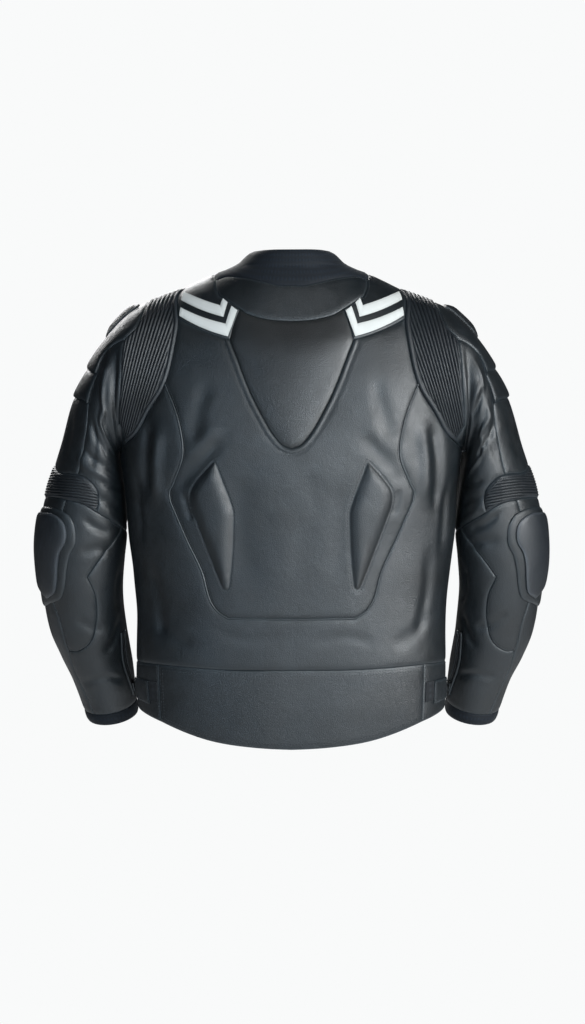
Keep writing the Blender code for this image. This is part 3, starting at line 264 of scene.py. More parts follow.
def torso_shape(places):
    half = (places[:, 0] + FRONT_MIDDLE) % (2 * FRONT_MIDDLE) - FRONT_MIDDLE
    at = ring_at(smooth(CHEST_RUN, ANGLES, abs(half)), smooth(TORSO_KNOTS, TORSO_RINGS, places[:, 1]))
    at[:, 0] *= np.where(half < 0, -1, 1)
    return at


torso = Form(torso_shape, (0, FRONT_MIDDLE / 2), (0, TORSO_KNOTS[-1]), 1)


def chain(*seams):
    """One closed outline from seams laid end to end."""
    return np.concatenate([np.asarray(seam, float)[:-1] for seam in seams])


def counter_clockwise(outline):
    x, y = outline.T
    return outline if np.sum(x * np.roll(y, -1) - np.roll(x, -1) * y) > 0 else outline[::-1]


def both_sides(left):
    """An outline across the middle of the back, from its left half, which starts and ends there."""
    return np.concatenate((left, left[-2:0:-1] * (-1, 1)))


def nearest(line, place):
    return int(np.argmin(np.sum((line - place) ** 2, 1)))


def add(tree, kind, links=None, **settings):
    """One node, with its settings, and each input linked or set."""
    made = tree.nodes.new(kind)
    for key, value in settings.items():
        setattr(made, key, value)
    for socket, value in (links or {}).items():
        if isinstance(value, bpy.types.NodeSocket):
            tree.links.new(value, made.inputs[socket])
        else:
            made.inputs[socket].default_value = value
    return made


def placed(name, data):
    """An object made from the data, in the scene."""
    made = bpy.data.objects.new(name, data)
    bpy.context.scene.collection.objects.link(made)
    return made


def colour(code):
    """Linear red, green and blue from an sRGB hex value."""
    parts = [int(code[i:i + 2], 16) / 255 for i in (1, 3, 5)]
    return (*(c / 12.92 if c <= 0.04045 else ((c + 0.055) / 1.055) ** 2.4 for c in parts), 1.0)


def finish_material(name, build):
    """A material whose shader's sockets are filled by a function that gets its tree."""
    made = bpy.data.materials.new(name)
    made.use_nodes = True
    tree = made.node_tree
    tree.nodes.clear()
    shader = add(tree, "ShaderNodeBsdfPrincipled", build(tree))
    add(tree, "ShaderNodeOutputMaterial", {"Surface": shader.outputs["BSDF"]})
    return made


def leather(name, dark, light, worn_and_sheen, rough, grain=0.0022, wrinkle=0.25, slack=0.2):
    """Full-grain cowhide, dyed through and lightly finished: fine pebbled grain under a low, broad gloss,
    with soft wrinkles, uneven dye, and edges paler and smoother along the seams, a band that is partly rubbed wear and
    partly a painted sheen."""
    def build(tree):
        at = add(tree, "ShaderNodeTexCoord").outputs["Object"]
        # the real grain is about 0.8 mm; it is drawn at 2.2 mm, so that it shows from a step away
        cells = add(tree, "ShaderNodeTexVoronoi", {"Vector": at, "Scale": 1 / grain},
                    feature="DISTANCE_TO_EDGE")
        pebble = add(tree, "ShaderNodeMapRange", {"Value": cells.outputs["Distance"], 2: 0.22})
        patch = add(tree, "ShaderNodeTexNoise", {"Vector": at, "Scale": 16.0, "Detail": 4.0, "Roughness": 0.6})
        soft = add(tree, "ShaderNodeTexNoise", {"Vector": at, "Scale": 55.0, "Detail": 3.0, "Distortion": 0.6})
        # near a seam the dye turns in patches towards the third tone: partly rubbed wear, partly a painted sheen along
        # the edges
        seam = add(tree, "ShaderNodeAttribute", attribute_name="seam")
        edge = add(tree, "ShaderNodeMapRange", {"Value": seam.outputs["Fac"], 1: 0.0, 2: 4.0, 3: 1.0, 4: 0.0})
        rubbed_and_sheen = add(tree, "ShaderNodeMath", {0: edge.outputs[0], 1: patch.outputs["Fac"]}, operation="MULTIPLY")
        ramp = add(tree, "ShaderNodeMapRange", {"Value": patch.outputs["Fac"], 1: 0.3, 2: 0.7})
        dye = add(tree, "ShaderNodeMix", {0: ramp.outputs[0], 6: colour(dark), 7: colour(light)},
                  data_type="RGBA")
        tone = add(tree, "ShaderNodeMix", {0: rubbed_and_sheen.outputs[0], 6: dye.outputs[2], 7: colour(worn_and_sheen)},
                   data_type="RGBA")
        gloss = add(tree, "ShaderNodeMapRange", {"Value": soft.outputs["Fac"], 1: 0.25, 2: 0.75,
                                                 3: rough - 0.07, 4: rough + 0.07})
        broad = add(tree, "ShaderNodeTexNoise", {"Vector": at, "Scale": 11.0, "Detail": 0.5})
        hollow = add(tree, "ShaderNodeBump", {"Height": broad.outputs["Fac"], "Strength": slack, "Distance": 0.012})
        wavy = add(tree, "ShaderNodeBump", {"Height": soft.outputs["Fac"], "Strength": wrinkle,
                                            "Distance": 0.0016, "Normal": hollow.outputs[0]})
        fine = add(tree, "ShaderNodeBump", {"Height": pebble.outputs[0], "Strength": 0.3, "Distance": 0.0004,
                                            "Normal": wavy.outputs[0]})
        return {"Base Color": tone.outputs[2], "Roughness": gloss.outputs[0], "Normal": fine.outputs[0],
                "Specular IOR Level": 0.62}
    return finish_material(name, build)


# the third tone is the seam band: rubbed wear and a painted sheen
HIDE = leather("black_cowhide", "#0a0e10", "#10161a", "#272e32", 0.44), "black_leather"
LEAST_CUT = 0.0101        # metres: a narrower strip is cut this wide and tucked under
CUT_ROWS, CUT_POINTS = 9, 40   # lines that a cut is measured on, and points on each


def cut_size(form, outline):
    """The width and length, in metres, of the rectangle that the flat cut of a piece needs."""
    size = []
    for held, free in ((1, 0), (0, 1)):
        runs = []
        for at in np.linspace(outline[:, held].min() + 1, outline[:, held].max() - 1, CUT_ROWS):
            hit = np.nonzero((outline[:, held] > at) != (np.roll(outline[:, held], -1) > at))[0]
            if len(hit) > 1:
                line = np.full((CUT_POINTS, 2), at)
                line[:, free] = np.linspace(outline[hit, free].min(), outline[hit, free].max(), CUT_POINTS)
                runs.append(running(form.shape(line))[-1])
        size.append(max(max(runs) * METRES, LEAST_CUT))
    return size


def swell(off, dip, puff):
    """How far a panel's outer face stands out: drawn in at its seam, a little full beyond."""
    return puff * (1 - np.exp(-off / PUFF_REACH)) - dip * np.clip(1 - off / SEAM_REACH, 0, 1) ** 2


def panel(name, form, outline, look, slot, lift, dip, puff, sewn_to, wall=LEATHER, relief=None, rows=(),
          lattice=None, pitch=PITCH, gap=SEAM_GAP / 2, pressed=()):
    """One cloth piece as a thin closed shell on its form. Relief raises its outer face; rows are lines
    that get close points beside them; a lattice replaces the even points inside. Pressed lines are
    (places, half width, depth), where stitches draw the leather in."""
    rows = list(rows) + [(line, False) for line, _, _ in pressed]
    outline = counter_clockwise(np.asarray(outline, float))
    border = form.shape(outline)
    edge = form.beside(outline, gap, True)
    close = [form.beside(outline, off, True) for off in BESIDE_SEAM]
    for line, closed in rows:
        close += [form.beside(line, off, closed) for off in BESIDE_LINE]
    close = np.concatenate(close)
    close = close[inside(close, outline)]
    close = close[apart(form.shape(close), border, True) > LEAST_OFF]
    margin = 1.6
    if lattice is None:
        low, high = outline.min(0), outline.max(0)
        a, v = np.meshgrid(np.arange(low[0], high[0], pitch), np.arange(low[1], high[1], pitch * ROW_HEIGHT))
        a = a + (np.arange(len(a)) % 2)[:, None] * pitch / 2
        lattice = np.stack((a.ravel(), v.ravel()), 1)
        margin = BESIDE_SEAM[-1] + pitch * 0.45
    else:
        close = close[:0]     # a lattice comes with its own close points
    lattice = lattice[inside(lattice, outline)]
    lattice = lattice[apart(form.shape(lattice), border, True) > margin]
    for line, closed in rows:
        lattice = lattice[apart(form.shape(lattice), form.shape(line), closed) > BESIDE_LINE[-1] + pitch * 0.3]
    places = np.concatenate((edge, close, lattice))
    points, _, cells, sources, *_ = delaunay_2d_cdt([Vector(p) for p in places], [],
                                                    [list(range(len(edge)))], 1, 1e-4)
    places, faces = np.array([tuple(point) for point in points]), np.array(cells, int)
    base = form.shape(places)
    off = apart(base, border, True)
    out = form.normal(places)
    drawn = -form.sunk(places, base)
    raised = swell(off, dip, puff) if dip else np.zeros(len(places))
    if relief is not None:
        raised = raised + relief(places, base, off)
    for line, half_width, depth in pressed:
        raised = raised - depth * np.exp(-(apart(base, form.shape(line)) / half_width) ** 2)
    upper = base + out * (lift + drawn + raised)[:, None]
    first = np.array([ids[0] if ids else len(edge) for ids in sources])
    on_edge, inner = first < len(edge), places.copy()
    inner[on_edge] = outline[first[on_edge]]     # inside, the edges of two panels meet in the seam
    lower = form.shape(inner) + out * (lift - wall + drawn)[:, None]
    count = len(places)
    if form.turn < 0:
        faces = faces[:, ::-1]
    sides = np.concatenate([faces[:, [k, (k + 1) % 3]] for k in range(3)])
    codes = sides[:, 0].astype(np.int64) * count + sides[:, 1]
    back_codes = sides[:, 1].astype(np.int64) * count + sides[:, 0]
    rim = sides[~np.isin(codes, back_codes)]
    walls = np.stack((rim[:, 1], rim[:, 0], rim[:, 0] + count, rim[:, 1] + count), 1)
    mesh = bpy.data.meshes.new(name)
    mesh.from_pydata((np.concatenate((upper, lower)) * METRES).tolist(), [],
                     faces.tolist() + (faces[:, ::-1] + count).tolist() + walls.tolist())
    mesh.attributes.new("seam", "FLOAT", "POINT").data.foreach_set("value", np.tile(np.minimum(off, 20), 2))
    loops = np.zeros(len(mesh.loops), np.int32)
    mesh.loops.foreach_get("vertex_index", loops)
    flat = np.tile(places, (2, 1)) * METRES
    mesh.uv_layers.new(name="UVMap").data.foreach_set("uv", flat[loops].ravel())
    mesh.materials.append(look)
    mesh.shade_smooth()
    mesh.set_sharp_from_angle(angle=SHARP)
    made = placed(name, mesh)
    width, length = cut_size(form, outline)
    corners = base[faces]
    area = 0.5 * np.linalg.norm(np.cross(corners[:, 1] - corners[:, 0], corners[:, 2] - corners[:, 0]), axis=1).sum()
    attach(made, "jacket")
    area *= METRES * METRES
    if width * length < area:
        width, length = width * 1.03, area / width
    return made


def grow(name, lines, look, slot, body="jacket", **inputs):
    """A piece from lines in millimetres, by Geometry Nodes: a tube along them, or a shape repeated on
    them at a pitch. What repeats is a small bead, long along the line."""
    points = np.concatenate(lines) * METRES
    edges, start = [], 0
    for line in lines:
        edges += [(start + i, start + i + 1) for i in range(len(line) - 1)]
        start += len(line)
    mesh = bpy.data.meshes.new(name + "_lines")
    mesh.from_pydata(points.tolist(), edges, [])
    made = placed(name, mesh)
    tree = bpy.data.node_groups.new(name, "GeometryNodeTree")
    tree.interface.new_socket("Lines", in_out="INPUT", socket_type="NodeSocketGeometry")
    for label, kind in (("Pitch", "Float"), ("Length", "Float"), ("Radius", "Float"), ("Look", "Material")):
        tree.interface.new_socket(label, in_out="INPUT", socket_type="NodeSocket" + kind)
    tree.interface.new_socket("Piece", in_out="OUTPUT", socket_type="NodeSocketGeometry")
    given = add(tree, "NodeGroupInput").outputs
    path = add(tree, "GeometryNodeMeshToCurve", {"Mesh": given["Lines"]})
    if inputs.get("Length"):
        even = add(tree, "GeometryNodeResampleCurve", {"Curve": path.outputs[0], "Length": given["Pitch"]},
                   mode="LENGTH")
        bead = add(tree, "GeometryNodeMeshUVSphere", {"Segments": 6, "Rings": 3, "Radius": 1.0})
        size = add(tree, "ShaderNodeCombineXYZ", {0: given["Radius"], 1: given["Radius"], 2: given["Length"]})
        turn = add(tree, "FunctionNodeAlignRotationToVector",
                   {"Vector": add(tree, "GeometryNodeInputTangent").outputs[0]}, axis="Z")
        dots = add(tree, "GeometryNodeInstanceOnPoints", {"Points": even.outputs[0], "Instance": bead.outputs[0],
                                                          "Rotation": turn.outputs[0], "Scale": size.outputs[0]})
        shape = add(tree, "GeometryNodeRealizeInstances", {0: dots.outputs[0]})
    else:
        ring = add(tree, "GeometryNodeCurvePrimitiveCircle", {"Resolution": 8, "Radius": given["Radius"]})
        shape = add(tree, "GeometryNodeCurveToMesh", {"Curve": path.outputs[0],
                                                      "Profile Curve": ring.outputs[0], "Fill Caps": True})
    soft = add(tree, "GeometryNodeSetShadeSmooth", {0: shape.outputs[0]})
    coated = add(tree, "GeometryNodeSetMaterial", {"Geometry": soft.outputs[0], "Material": given["Look"]})
    add(tree, "NodeGroupOutput", {0: coated.outputs[0]})
    grower = made.modifiers.new("grow", "NODES")
    grower.node_group = tree
    for item in tree.interface.items_tree:
        if item.in_out == "INPUT" and item.name in inputs:
            grower[item.identifier] = inputs[item.name] * METRES
        if item.in_out == "INPUT" and item.name == "Look":
            grower[item.identifier] = look
    grown = bpy.data.meshes.new_from_object(made.evaluated_get(bpy.context.evaluated_depsgraph_get()))
    made.modifiers.remove(grower)
    made.data = grown
    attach(made, body)
    return made


def on_cloth(form, line, lift=0.0):
    """A line of places as points that lie on the finished leather."""
    base = form.shape(line)
    return base + form.normal(line) * (lift - form.sunk(line, base))[:, None]


def thread_look(tree):
    """Bonded polyester thread: a tight round cord with a dull shine."""
    return {"Base Color": colour("#23272a"), "Roughness": 0.6}


THREAD = finish_material("polyester_thread", thread_look), "black_leather"
STITCH_PITCH, STITCH_LENGTH, STITCH_RADIUS = 4.2, 1.6, 0.42


def stitch(name, rows):
    """Rows of stitches: (form, line of places, lift)."""
    return grow(name, [on_cloth(form, line, lift) for form, line, lift in rows], *THREAD,
                Pitch=STITCH_PITCH, Length=STITCH_LENGTH, Radius=STITCH_RADIUS)


def dressed(name, form, outline, *args, sewn_to, topstitch=(), lift=0.0, dip=SEAM_DIP, puff=0.5, **more):
    """A panel that stands for the CAD node of its own name, with rows of stitches inside its edge. The nodes
    that it is sewn to are named in one string, where # is its own hand; these names are not used."""
    made = panel(name + "_cloth", form, outline, *args, lift=lift, dip=dip, puff=puff,
                 sewn_to=sewn_to.replace("#", name[-1]).split(), **more)
    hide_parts(name)
    rows = []
    for off in topstitch:
        line = form.beside(counter_clockwise(np.asarray(outline, float)), off, True)
        base = form.shape(line)
        line = line[apart(base, form.shape(np.asarray(outline, float)), True) > off * 0.93]
        rows.append((form, np.concatenate((line, line[:1])), lift + swell(off, dip, puff) + 0.1))
    if rows:
        stitch(name + "_stitches", rows)
    return made


armhole_rows = torso.find(*ARMHOLE)
ridge, under = armhole_rows[0, 0], armhole_rows[-1, 0]
straight_rows = ridge + (under - ridge) * np.arange(len(ARMHOLE)) / (len(ARMHOLE) - 1)
front_rows = np.stack((2 * straight_rows - armhole_rows[:, 0], armhole_rows[:, 1]), 1)
armhole_back, armhole_front = spaced(armhole_rows), spaced(front_rows[::-1])
MAIN_UPPER = ((177.5, -142), (166, -170), (157.5, -197), (152, -230), (154, -250), (166, -281))
MAIN_CORNER = ((166, -281), (171.5, -293), (170, -306))
MAIN_LOWER = ((170, -306), (145, -364), (126, -405), (115.5, -442), (104, -460), (89, -470))
MAIN_FOOT = ((89, -470), (0, -471))
YOKE_EDGE = ((72.5, -36), (81, -57), (86.8, -79))
YOKE_SEAM = ((86.8, -79), (76.5, -106), (66.5, -133), (54, -162), (41, -187), (27, -211), (13, -227), (0, -232))
PAD = ((107, -249), (87, -303), (81.5, -325), (88, -428), (96, -428), (136, -324), (141.5, -300), (138, -286))
PAD_HEIGHT = 5.0
shoulder_at = nearest(armhole_back, armhole_rows[1])
main_at = nearest(armhole_back, armhole_rows[3])
yoke_edge, yoke_seam = torso.trace(YOKE_EDGE), torso.trace(YOKE_SEAM)
shoulder_low = spaced([yoke_edge[-1], armhole_back[shoulder_at]])
main_edge = np.concatenate((torso.trace(MAIN_UPPER)[:-1], torso.trace(MAIN_CORNER)[:-1],
                            torso.trace(MAIN_LOWER)[:-1], torso.trace(MAIN_FOOT)))
main_edge[0] = armhole_back[main_at]
pad_left = spaced(np.concatenate((torso.find(*PAD), torso.find(PAD[0]))))
pad_lines = [pad_left[:-1], pad_left[:-1] * (-1, 1)]


def pad_relief(places, base, off):
    """Two foam lozenges: a groove round each, then a soft rise to its flat top."""
    total = np.zeros(len(places))
    for line in pad_lines:
        away = apart(base, torso.shape(line), True)
        within = inside(places, line)
        total += np.where(within, PAD_HEIGHT * (1 - np.exp(-(away / 7.5) ** 1.6)) + 0.8, 0)
        total += np.where(within, 0, 0.8 * np.exp(-away / 3)) - 1.2 * np.exp(-(away / 1.6) ** 2)
    band = np.clip(apart(base, torso.shape(yoke_round)) / YOKE_STITCH, 0, 1)
    return total + 0.8 * np.sin(pi * band) ** 0.6


def joined(*seams):
    """Seams laid end to end, each starting where the last one ends."""
    return np.concatenate([seams[0]] + [seam[1:] for seam in seams[1:]])


torso.crease(
    ((200, -196), (204, -250), (206, -300), 13, 4.6), ((-196, -196), (-204, -262), (-202, -318), 13, 4.2),
    ((186, -206), (190, -250), (188, -300), 12, -3.4), ((-182, -200), (-188, -250), (-186, -306), 12, -3.2),
    ((218, -262), (213, -310), (209, -362), 10, 3.0), ((-218, -280), (-212, -330), (-209, -372), 10, 2.8),
    ((162, -290), (128, -252), (98, -218), 14, 2.4), ((-162, -284), (-130, -246), (-100, -214), 15, 2.0),
    ((150, -246), (124, -222), (104, -196), 16, -1.4), ((-152, -240), (-124, -216), (-106, -190), 17, -1.1),
    ((150, -296), (146, -312), (140, -332), 6, 2.2), ((-150, -290), (-148, -306), (-142, -326), 6, 2.0),
    ((186, -470), (165, -496), (136, -508), 15, 1.5), ((-196, -462), (-164, -496), (-140, -506), 14, 1.4),
    ((196, -400), (186, -440), (182, -500), 14, 2.6), ((-192, -380), (-190, -430), (-178, -490), 13, 2.8),
    ((66, -270), (72, -340), (58, -430), 26, 1.5), ((-60, -280), (-70, -350), (-58, -420), 24, 1.3),
    ((20, -300), (10, -370), (16, -430), 30, -1.0), ((-14, -262), (-34, -300), (-40, -340), 22, 0.9),
    ((118, -140), (132, -185), (136, -225), 15, 2.0), ((-116, -136), (-130, -190), (-138, -222), 14, 1.9),
    ((100, -490), (60, -500), (10, -494), 11, 0.7), ((-30, -504), (-80, -496), (-118, -506), 10, 0.7),
)
YOKE_STITCH, SEAM_STITCH = 7.4, 3.2   # from the yoke's seam and from other seams to their stitches
PIPING_SUNK, PIPING_RADIUS = 0.7, 1.5
yoke_round = joined(yoke_seam, yoke_seam[::-1] * (-1, 1))
yoke_row = torso.beside(yoke_round, -YOKE_STITCH)
main_round = joined(main_edge, main_edge[::-1] * (-1, 1))
main_row = torso.beside(main_round, SEAM_STITCH)
stitch("back_stitches", [(torso, yoke_row, 0.0), (torso, main_row, 0.0)]
       + [(torso, torso.beside(counter_clockwise(line), -2.6, True), 0.9) for line in pad_lines])
grow("back_piping", [on_cloth(torso, main_round, -PIPING_SUNK)], *HIDE, Radius=PIPING_RADIUS)
dressed("back_main", torso, both_sides(joined(yoke_seam[::-1], shoulder_low,
                                              armhole_back[shoulder_at:main_at + 1], main_edge)),
        *HIDE, relief=pad_relief, rows=[(line, True) for line in pad_lines],
        pressed=[(yoke_row, 1.3, 0.8)],
        sewn_to="back_yoke back_surround shoulder_L shoulder_R")

# ---------------------------------------------------------------- neck band and back yoke
# Two small shaped panels of the same hide, under the collar. The band is cut across the neck, and the
# yoke is a long U let into the back, smooth and a little firmer, with a second row of stitches round it.
NECK_SEAM = ((0, -3), (18, -3), (40, 2), (68, 8), (90, 10), (106, 5))
BAND_END = ((106, 5), (101.5, -18))
BAND_TO_STRIPES = ((101.5, -18), (88, -26), (72.5, -36))
BAND_TO_YOKE = ((72.5, -36), (61, -43), (36, -50), (0, -53))
ZIP_HALF = 6.0            # half width of the front zip's tape
neck_back = torso.trace(NECK_SEAM)
band_end, band_stripes, band_yoke = (torso.trace(seam) for seam in (BAND_END, BAND_TO_STRIPES, BAND_TO_YOKE))
SMOOTH_HIDE = (leather("smooth_cowhide", "#080a0b", "#0d0f10", "#24282a", 0.4, wrinkle=0.04, slack=0.1),
               "black_leather")
dressed("neck_band", torso, both_sides(joined(neck_back, band_end, band_stripes, band_yoke)),
        *HIDE, dip=1.0, puff=0.2, topstitch=(2.6,),
        sewn_to="collar shoulder_L shoulder_R back_yoke")
YOKE_SLOPE = 0.075        # rise of the foam behind the yoke for each millimetre of its half width
yoke_border = torso.shape(joined(yoke_edge, yoke_seam))


def yoke_relief(places, base, off):
    """Firm foam behind the yoke makes it swell towards its middle line."""
    half = np.maximum(np.interp(-base[:, 2], -yoke_border[:, 2], yoke_border[:, 0]), 1.0)
    top = np.clip((-45 - base[:, 2]) / 70, 0, 1)
    return YOKE_SLOPE * half * np.clip(1 - (base[:, 0] / half) ** 2, 0, 1) * top * top * (3 - 2 * top)


dressed("back_yoke", torso, both_sides(joined(band_yoke[::-1], yoke_edge, yoke_seam)),
        *SMOOTH_HIDE, puff=1.0, relief=yoke_relief, sewn_to="back_main neck_band")

# ---------------------------------------------------------------- shoulders
# One panel on each shoulder, from the back over the ridge to the chest, of the same hide. Two white
# strips with mitred ends are laid on it and sewn down close to their edges: plain racing stripes.
FRONT_YOKE_ROW = 2
STRIPE_UPPER = ((95.5, -22), (99.5, -32), (150, -12.5), (154.5, -24), (95, -48), (89, -28))
STRIPE_LOWER = ((83.5, -33), (92, -57.5), (155, -34.5), (157, -46), (89, -75), (82, -57), (75.5, -39))
MITRES = ((99.5, -32), (95, -48)), ((92, -57.5), (89, -75))
END_ROWS = ((145, -14.4), (149.3, -25.9)), ((149.6, -36.5), (151.4, -48.5))
STRIPE_WALL, LIE_GAP = 1.0, 0.3
front_edge_x = FRONT_MIDDLE - ZIP_HALF
neck_rows = np.array((neck_back[-1], torso.find((107, 12.5))[0], (front_edge_x, TORSO_KNOTS[3] + 6)))
neck_side, neck_over, neck_front = (smooth((0, 1, 2), neck_rows, np.linspace(a, b, n))
                                    for a, b, n in ((0, 1, 5), (1, 1.4, 15), (1.4, 2, 25)))
front_at = nearest(armhole_front, front_rows[FRONT_YOKE_ROW])
front_seam = spaced([armhole_front[front_at], neck_front[0]])
shoulder_outline = chain(neck_side, neck_over, front_seam[::-1], armhole_front[front_at:],
                         armhole_back[:shoulder_at + 1], shoulder_low[::-1], yoke_edge[::-1],
                         band_stripes[::-1], band_end[::-1])
WHITE_HIDE = (leather("white_cowhide", "#bfbfbb", "#cacac6", "#a9a9a4", 0.55, wrinkle=0.12, slack=0.15),
              "white_leather")


def straight(corners, step=STEP):
    """Straight edges between corners, closed."""
    line = []
    for a, b in zip(corners, np.roll(corners, -1, 0)):
        count = max(1, round(np.linalg.norm(b - a) / step))
        line += [a + (b - a) * i / count for i in range(count)]
    return np.array(line)


def mirror(places, side):
    return places * (side, 1) if side > 0 else places[::-1] * (-1, 1)


for hand, side in HANDS.items():
    dressed("shoulder_" + hand, torso, mirror(shoulder_outline, side), *HIDE, topstitch=(2.8,),
            sewn_to="back_main neck_band front_# shoulder_rib_#")
    for name, corners, *seams in (("stripe_upper_", STRIPE_UPPER, MITRES[0], END_ROWS[0]),
                                  ("stripe_lower_", STRIPE_LOWER, MITRES[1], END_ROWS[1])):
        dressed(name + hand, torso, mirror(straight(torso.find(*corners)), side), *WHITE_HIDE,
                wall=STRIPE_WALL, lift=LIE_GAP + STRIPE_WALL + 0.5, dip=0.5, puff=0.2, gap=0.0,
                pressed=[(torso.trace(seam, 2.0) * (side, 1), 0.8, 0.7) for seam in seams],
                sewn_to="shoulder_#")

# ---------------------------------------------------------------- side backs and lower back
# One U-shaped panel round the centre back: both side backs and the strip over the waistband. Its curved
# seam to the centre back carries a raised welt, and the leather is slack beside the arms.
SIDE_SEAM_AT = 0.52       # of the way from the back's middle to the front's middle
BELT_TOP = ((0, -543), (92, -542), (185.5, -534))
side_x = FRONT_MIDDLE * SIDE_SEAM_AT
belt_back = torso.trace(BELT_TOP)
belt_row = belt_back[-1, 1]
side_seam = spaced([armhole_back[-1], (side_x, armhole_back[-1, 1] + 60), (side_x, belt_row)])
belt_flank = spaced([belt_back[-1], side_seam[-1]])
surround_left = joined(main_edge[::-1], armhole_back[main_at:], side_seam, belt_flank[::-1], belt_back[::-1])
dressed("back_surround", torso, both_sides(surround_left), *HIDE,
        sewn_to="back_main front_L front_R waist_back")

# ---------------------------------------------------------------- fronts
# Two plain panels, one on each side of the zip, of the same hide. The photo doesn't show them, so they
# have only the seams that they must have, and soft folds like those of the back.
belt_front = spaced([side_seam[-1], (front_edge_x, belt_row - 4)])
edge_upper = spaced([neck_front[-1], belt_front[-1]])
front_outline = chain(front_seam, neck_front, edge_upper, belt_front[::-1], side_seam[::-1],
                      armhole_front[:front_at + 1])
for hand, side in HANDS.items():
    dressed("front_" + hand, torso, mirror(front_outline, side), *HIDE, topstitch=(3.0,),
            sewn_to="shoulder_# back_surround waist_front_# front_zip")

# ---------------------------------------------------------------- waistband
# A wide band of doubled hide round the waist: a long back piece with a rounded lower edge, a short piece
# at each side under the adjuster, and one at each front. Its hem has two rows of stitches.
BELT_SIDE = ((185.5, -534), (182.5, -614))
HEM = ((0, -654), (54, -651), (119, -640), (182.5, -614))
belt_side, hem_back = torso.trace(BELT_SIDE), torso.trace(HEM)
hem_row = hem_back[-1, 1] - 2
side_low = spaced([side_seam[-1], (side_x, hem_row)])
hem_flank = spaced([hem_back[-1], side_low[-1]])
hem_front = spaced([side_low[-1], (front_edge_x, hem_row - 10)])
edge_lower = spaced([belt_front[-1], hem_front[-1]])
dressed("waist_back", torso, both_sides(joined(belt_back, belt_side, hem_back[::-1])), *HIDE,
        dip=0.9, puff=1.2, topstitch=(3.0, 7.0),
        sewn_to="back_surround waist_side_L waist_side_R")
for hand, side in HANDS.items():
    dressed("waist_side_" + hand, torso,
            mirror(chain(belt_flank, side_low, hem_flank[::-1], belt_side[::-1]), side),
            *HIDE, dip=0.9, topstitch=(3.0,),
            sewn_to="waist_back back_surround waist_front_#")
    dressed("waist_front_" + hand, torso,
            mirror(chain(belt_front, edge_lower, hem_front[::-1], side_low[::-1]), side),
            *HIDE, sewn_to="waist_side_# front_# front_zip", topstitch=(3.0, 7.0))

# ---------------------------------------------------------------- waist adjusters
# On each side a short strap of doubled hide, sewn on at its front end, drawn back by a strip of webbing.
STRAP_AT, STRAP_HEIGHT, STRAP_LENGTH = (198, -573), 35.0, 50.0
LOOP_AT, LOOP_HEIGHT = (186.5, -573), 29.0
STRAP_WALL, LOOP_WALL = 2.5, 1.5


def fabric(name, dark, light, pitch, rough, depth):
    """Dyed synthetic fabric: matt, with crossing threads that catch a soft sheen at the turns."""
    def build(tree):
        at = add(tree, "ShaderNodeTexCoord").outputs["UV"]
        waves = [add(tree, "ShaderNodeTexWave", {"Vector": at, "Scale": 1 / pitch / 20, "Distortion": 0.4,
                                                 "Detail Scale": 2.0}, bands_direction=way).outputs["Fac"]
                 for way in "XY"]
        both = add(tree, "ShaderNodeMath", {0: waves[0], 1: waves[1]}, operation="MULTIPLY")
        mottle = add(tree, "ShaderNodeTexNoise", {"Vector": add(tree, "ShaderNodeTexCoord").outputs["Object"],
                                                  "Scale": 30.0, "Detail": 3.0})
        blend = add(tree, "ShaderNodeMath", {0: both.outputs[0], 1: mottle.outputs["Fac"]}, operation="MULTIPLY")
        tone = add(tree, "ShaderNodeMix", {0: blend.outputs[0], 6: colour(dark), 7: colour(light)},
                   data_type="RGBA")
        bump = add(tree, "ShaderNodeBump", {"Height": both.outputs[0], "Strength": depth, "Distance": 0.0004})
        return {"Base Color": tone.outputs[2], "Roughness": rough, "Normal": bump.outputs[0],
                "Specular IOR Level": 0.3, "Sheen Weight": 0.04, "Sheen Roughness": 0.5}
    return finish_material(name, build)


WEBBING = fabric("nylon_webbing", "#121417", "#2a2d31", 0.0016, 0.75, 0.6), "strap_webbing"


def box_on(start, length, height):
    return straight(start + np.array(((0, -0.5), (length, -0.5), (length, 0.5), (0, 0.5))) * (1, height), 3.0)


strap_start, loop_start = torso.find(STRAP_AT, LOOP_AT)
loop_length = strap_start[0] - loop_start[0] - 1
for hand, side in HANDS.items():
    dressed("strap_" + hand, torso, mirror(box_on(strap_start, STRAP_LENGTH, STRAP_HEIGHT), side),
            *HIDE, wall=STRAP_WALL, lift=LIE_GAP + STRAP_WALL, dip=0.6, puff=0.4, gap=0.0,
            pitch=3.4, topstitch=(2.4,), sewn_to="waist_side_#")
    dressed("strap_loop_" + hand, torso, mirror(box_on(loop_start, loop_length, LOOP_HEIGHT), side),
            *WEBBING, wall=LOOP_WALL, lift=LIE_GAP + LOOP_WALL, dip=0.2, puff=0.1, gap=0.0,
            pitch=3.0, sewn_to="waist_side_#")

# ---------------------------------------------------------------- collar
# A soft stand collar of dark blue-black stretch fabric over thin foam, folded at its upper edge, sewn
# into the neck seam and open at the front, where the zip runs up between its ends.
KNIT = 3.0
SOFT_KNIT = fabric("stretch_knit", "#070d14", "#0f1a25", 0.0014, 0.75, 0.5), "soft_knit"
COLLAR_FOLD, FOLD_OVER = ((66, 25), (40, 26.5), (0, 25), (-34, 26.5), (-66, 25)), 1.6
collar_top = spaced([(0, 2), (front_edge_x, 2)])
edge_collar = spaced([(front_edge_x, 2), neck_front[-1]])
collar_fold = torso.trace(COLLAR_FOLD)
fold_at = collar_fold[:, 1].mean()


def fold_over(places, base, off):
    """The turned-down upper part lies over the lower one and ends at the fold line."""
    above = np.clip((fold_at - places[:, 1]) / 1.5 + 0.5, 0, 1)
    return FOLD_OVER * above * np.clip(1.4 - abs(places[:, 0]) / 120, 0, 1)


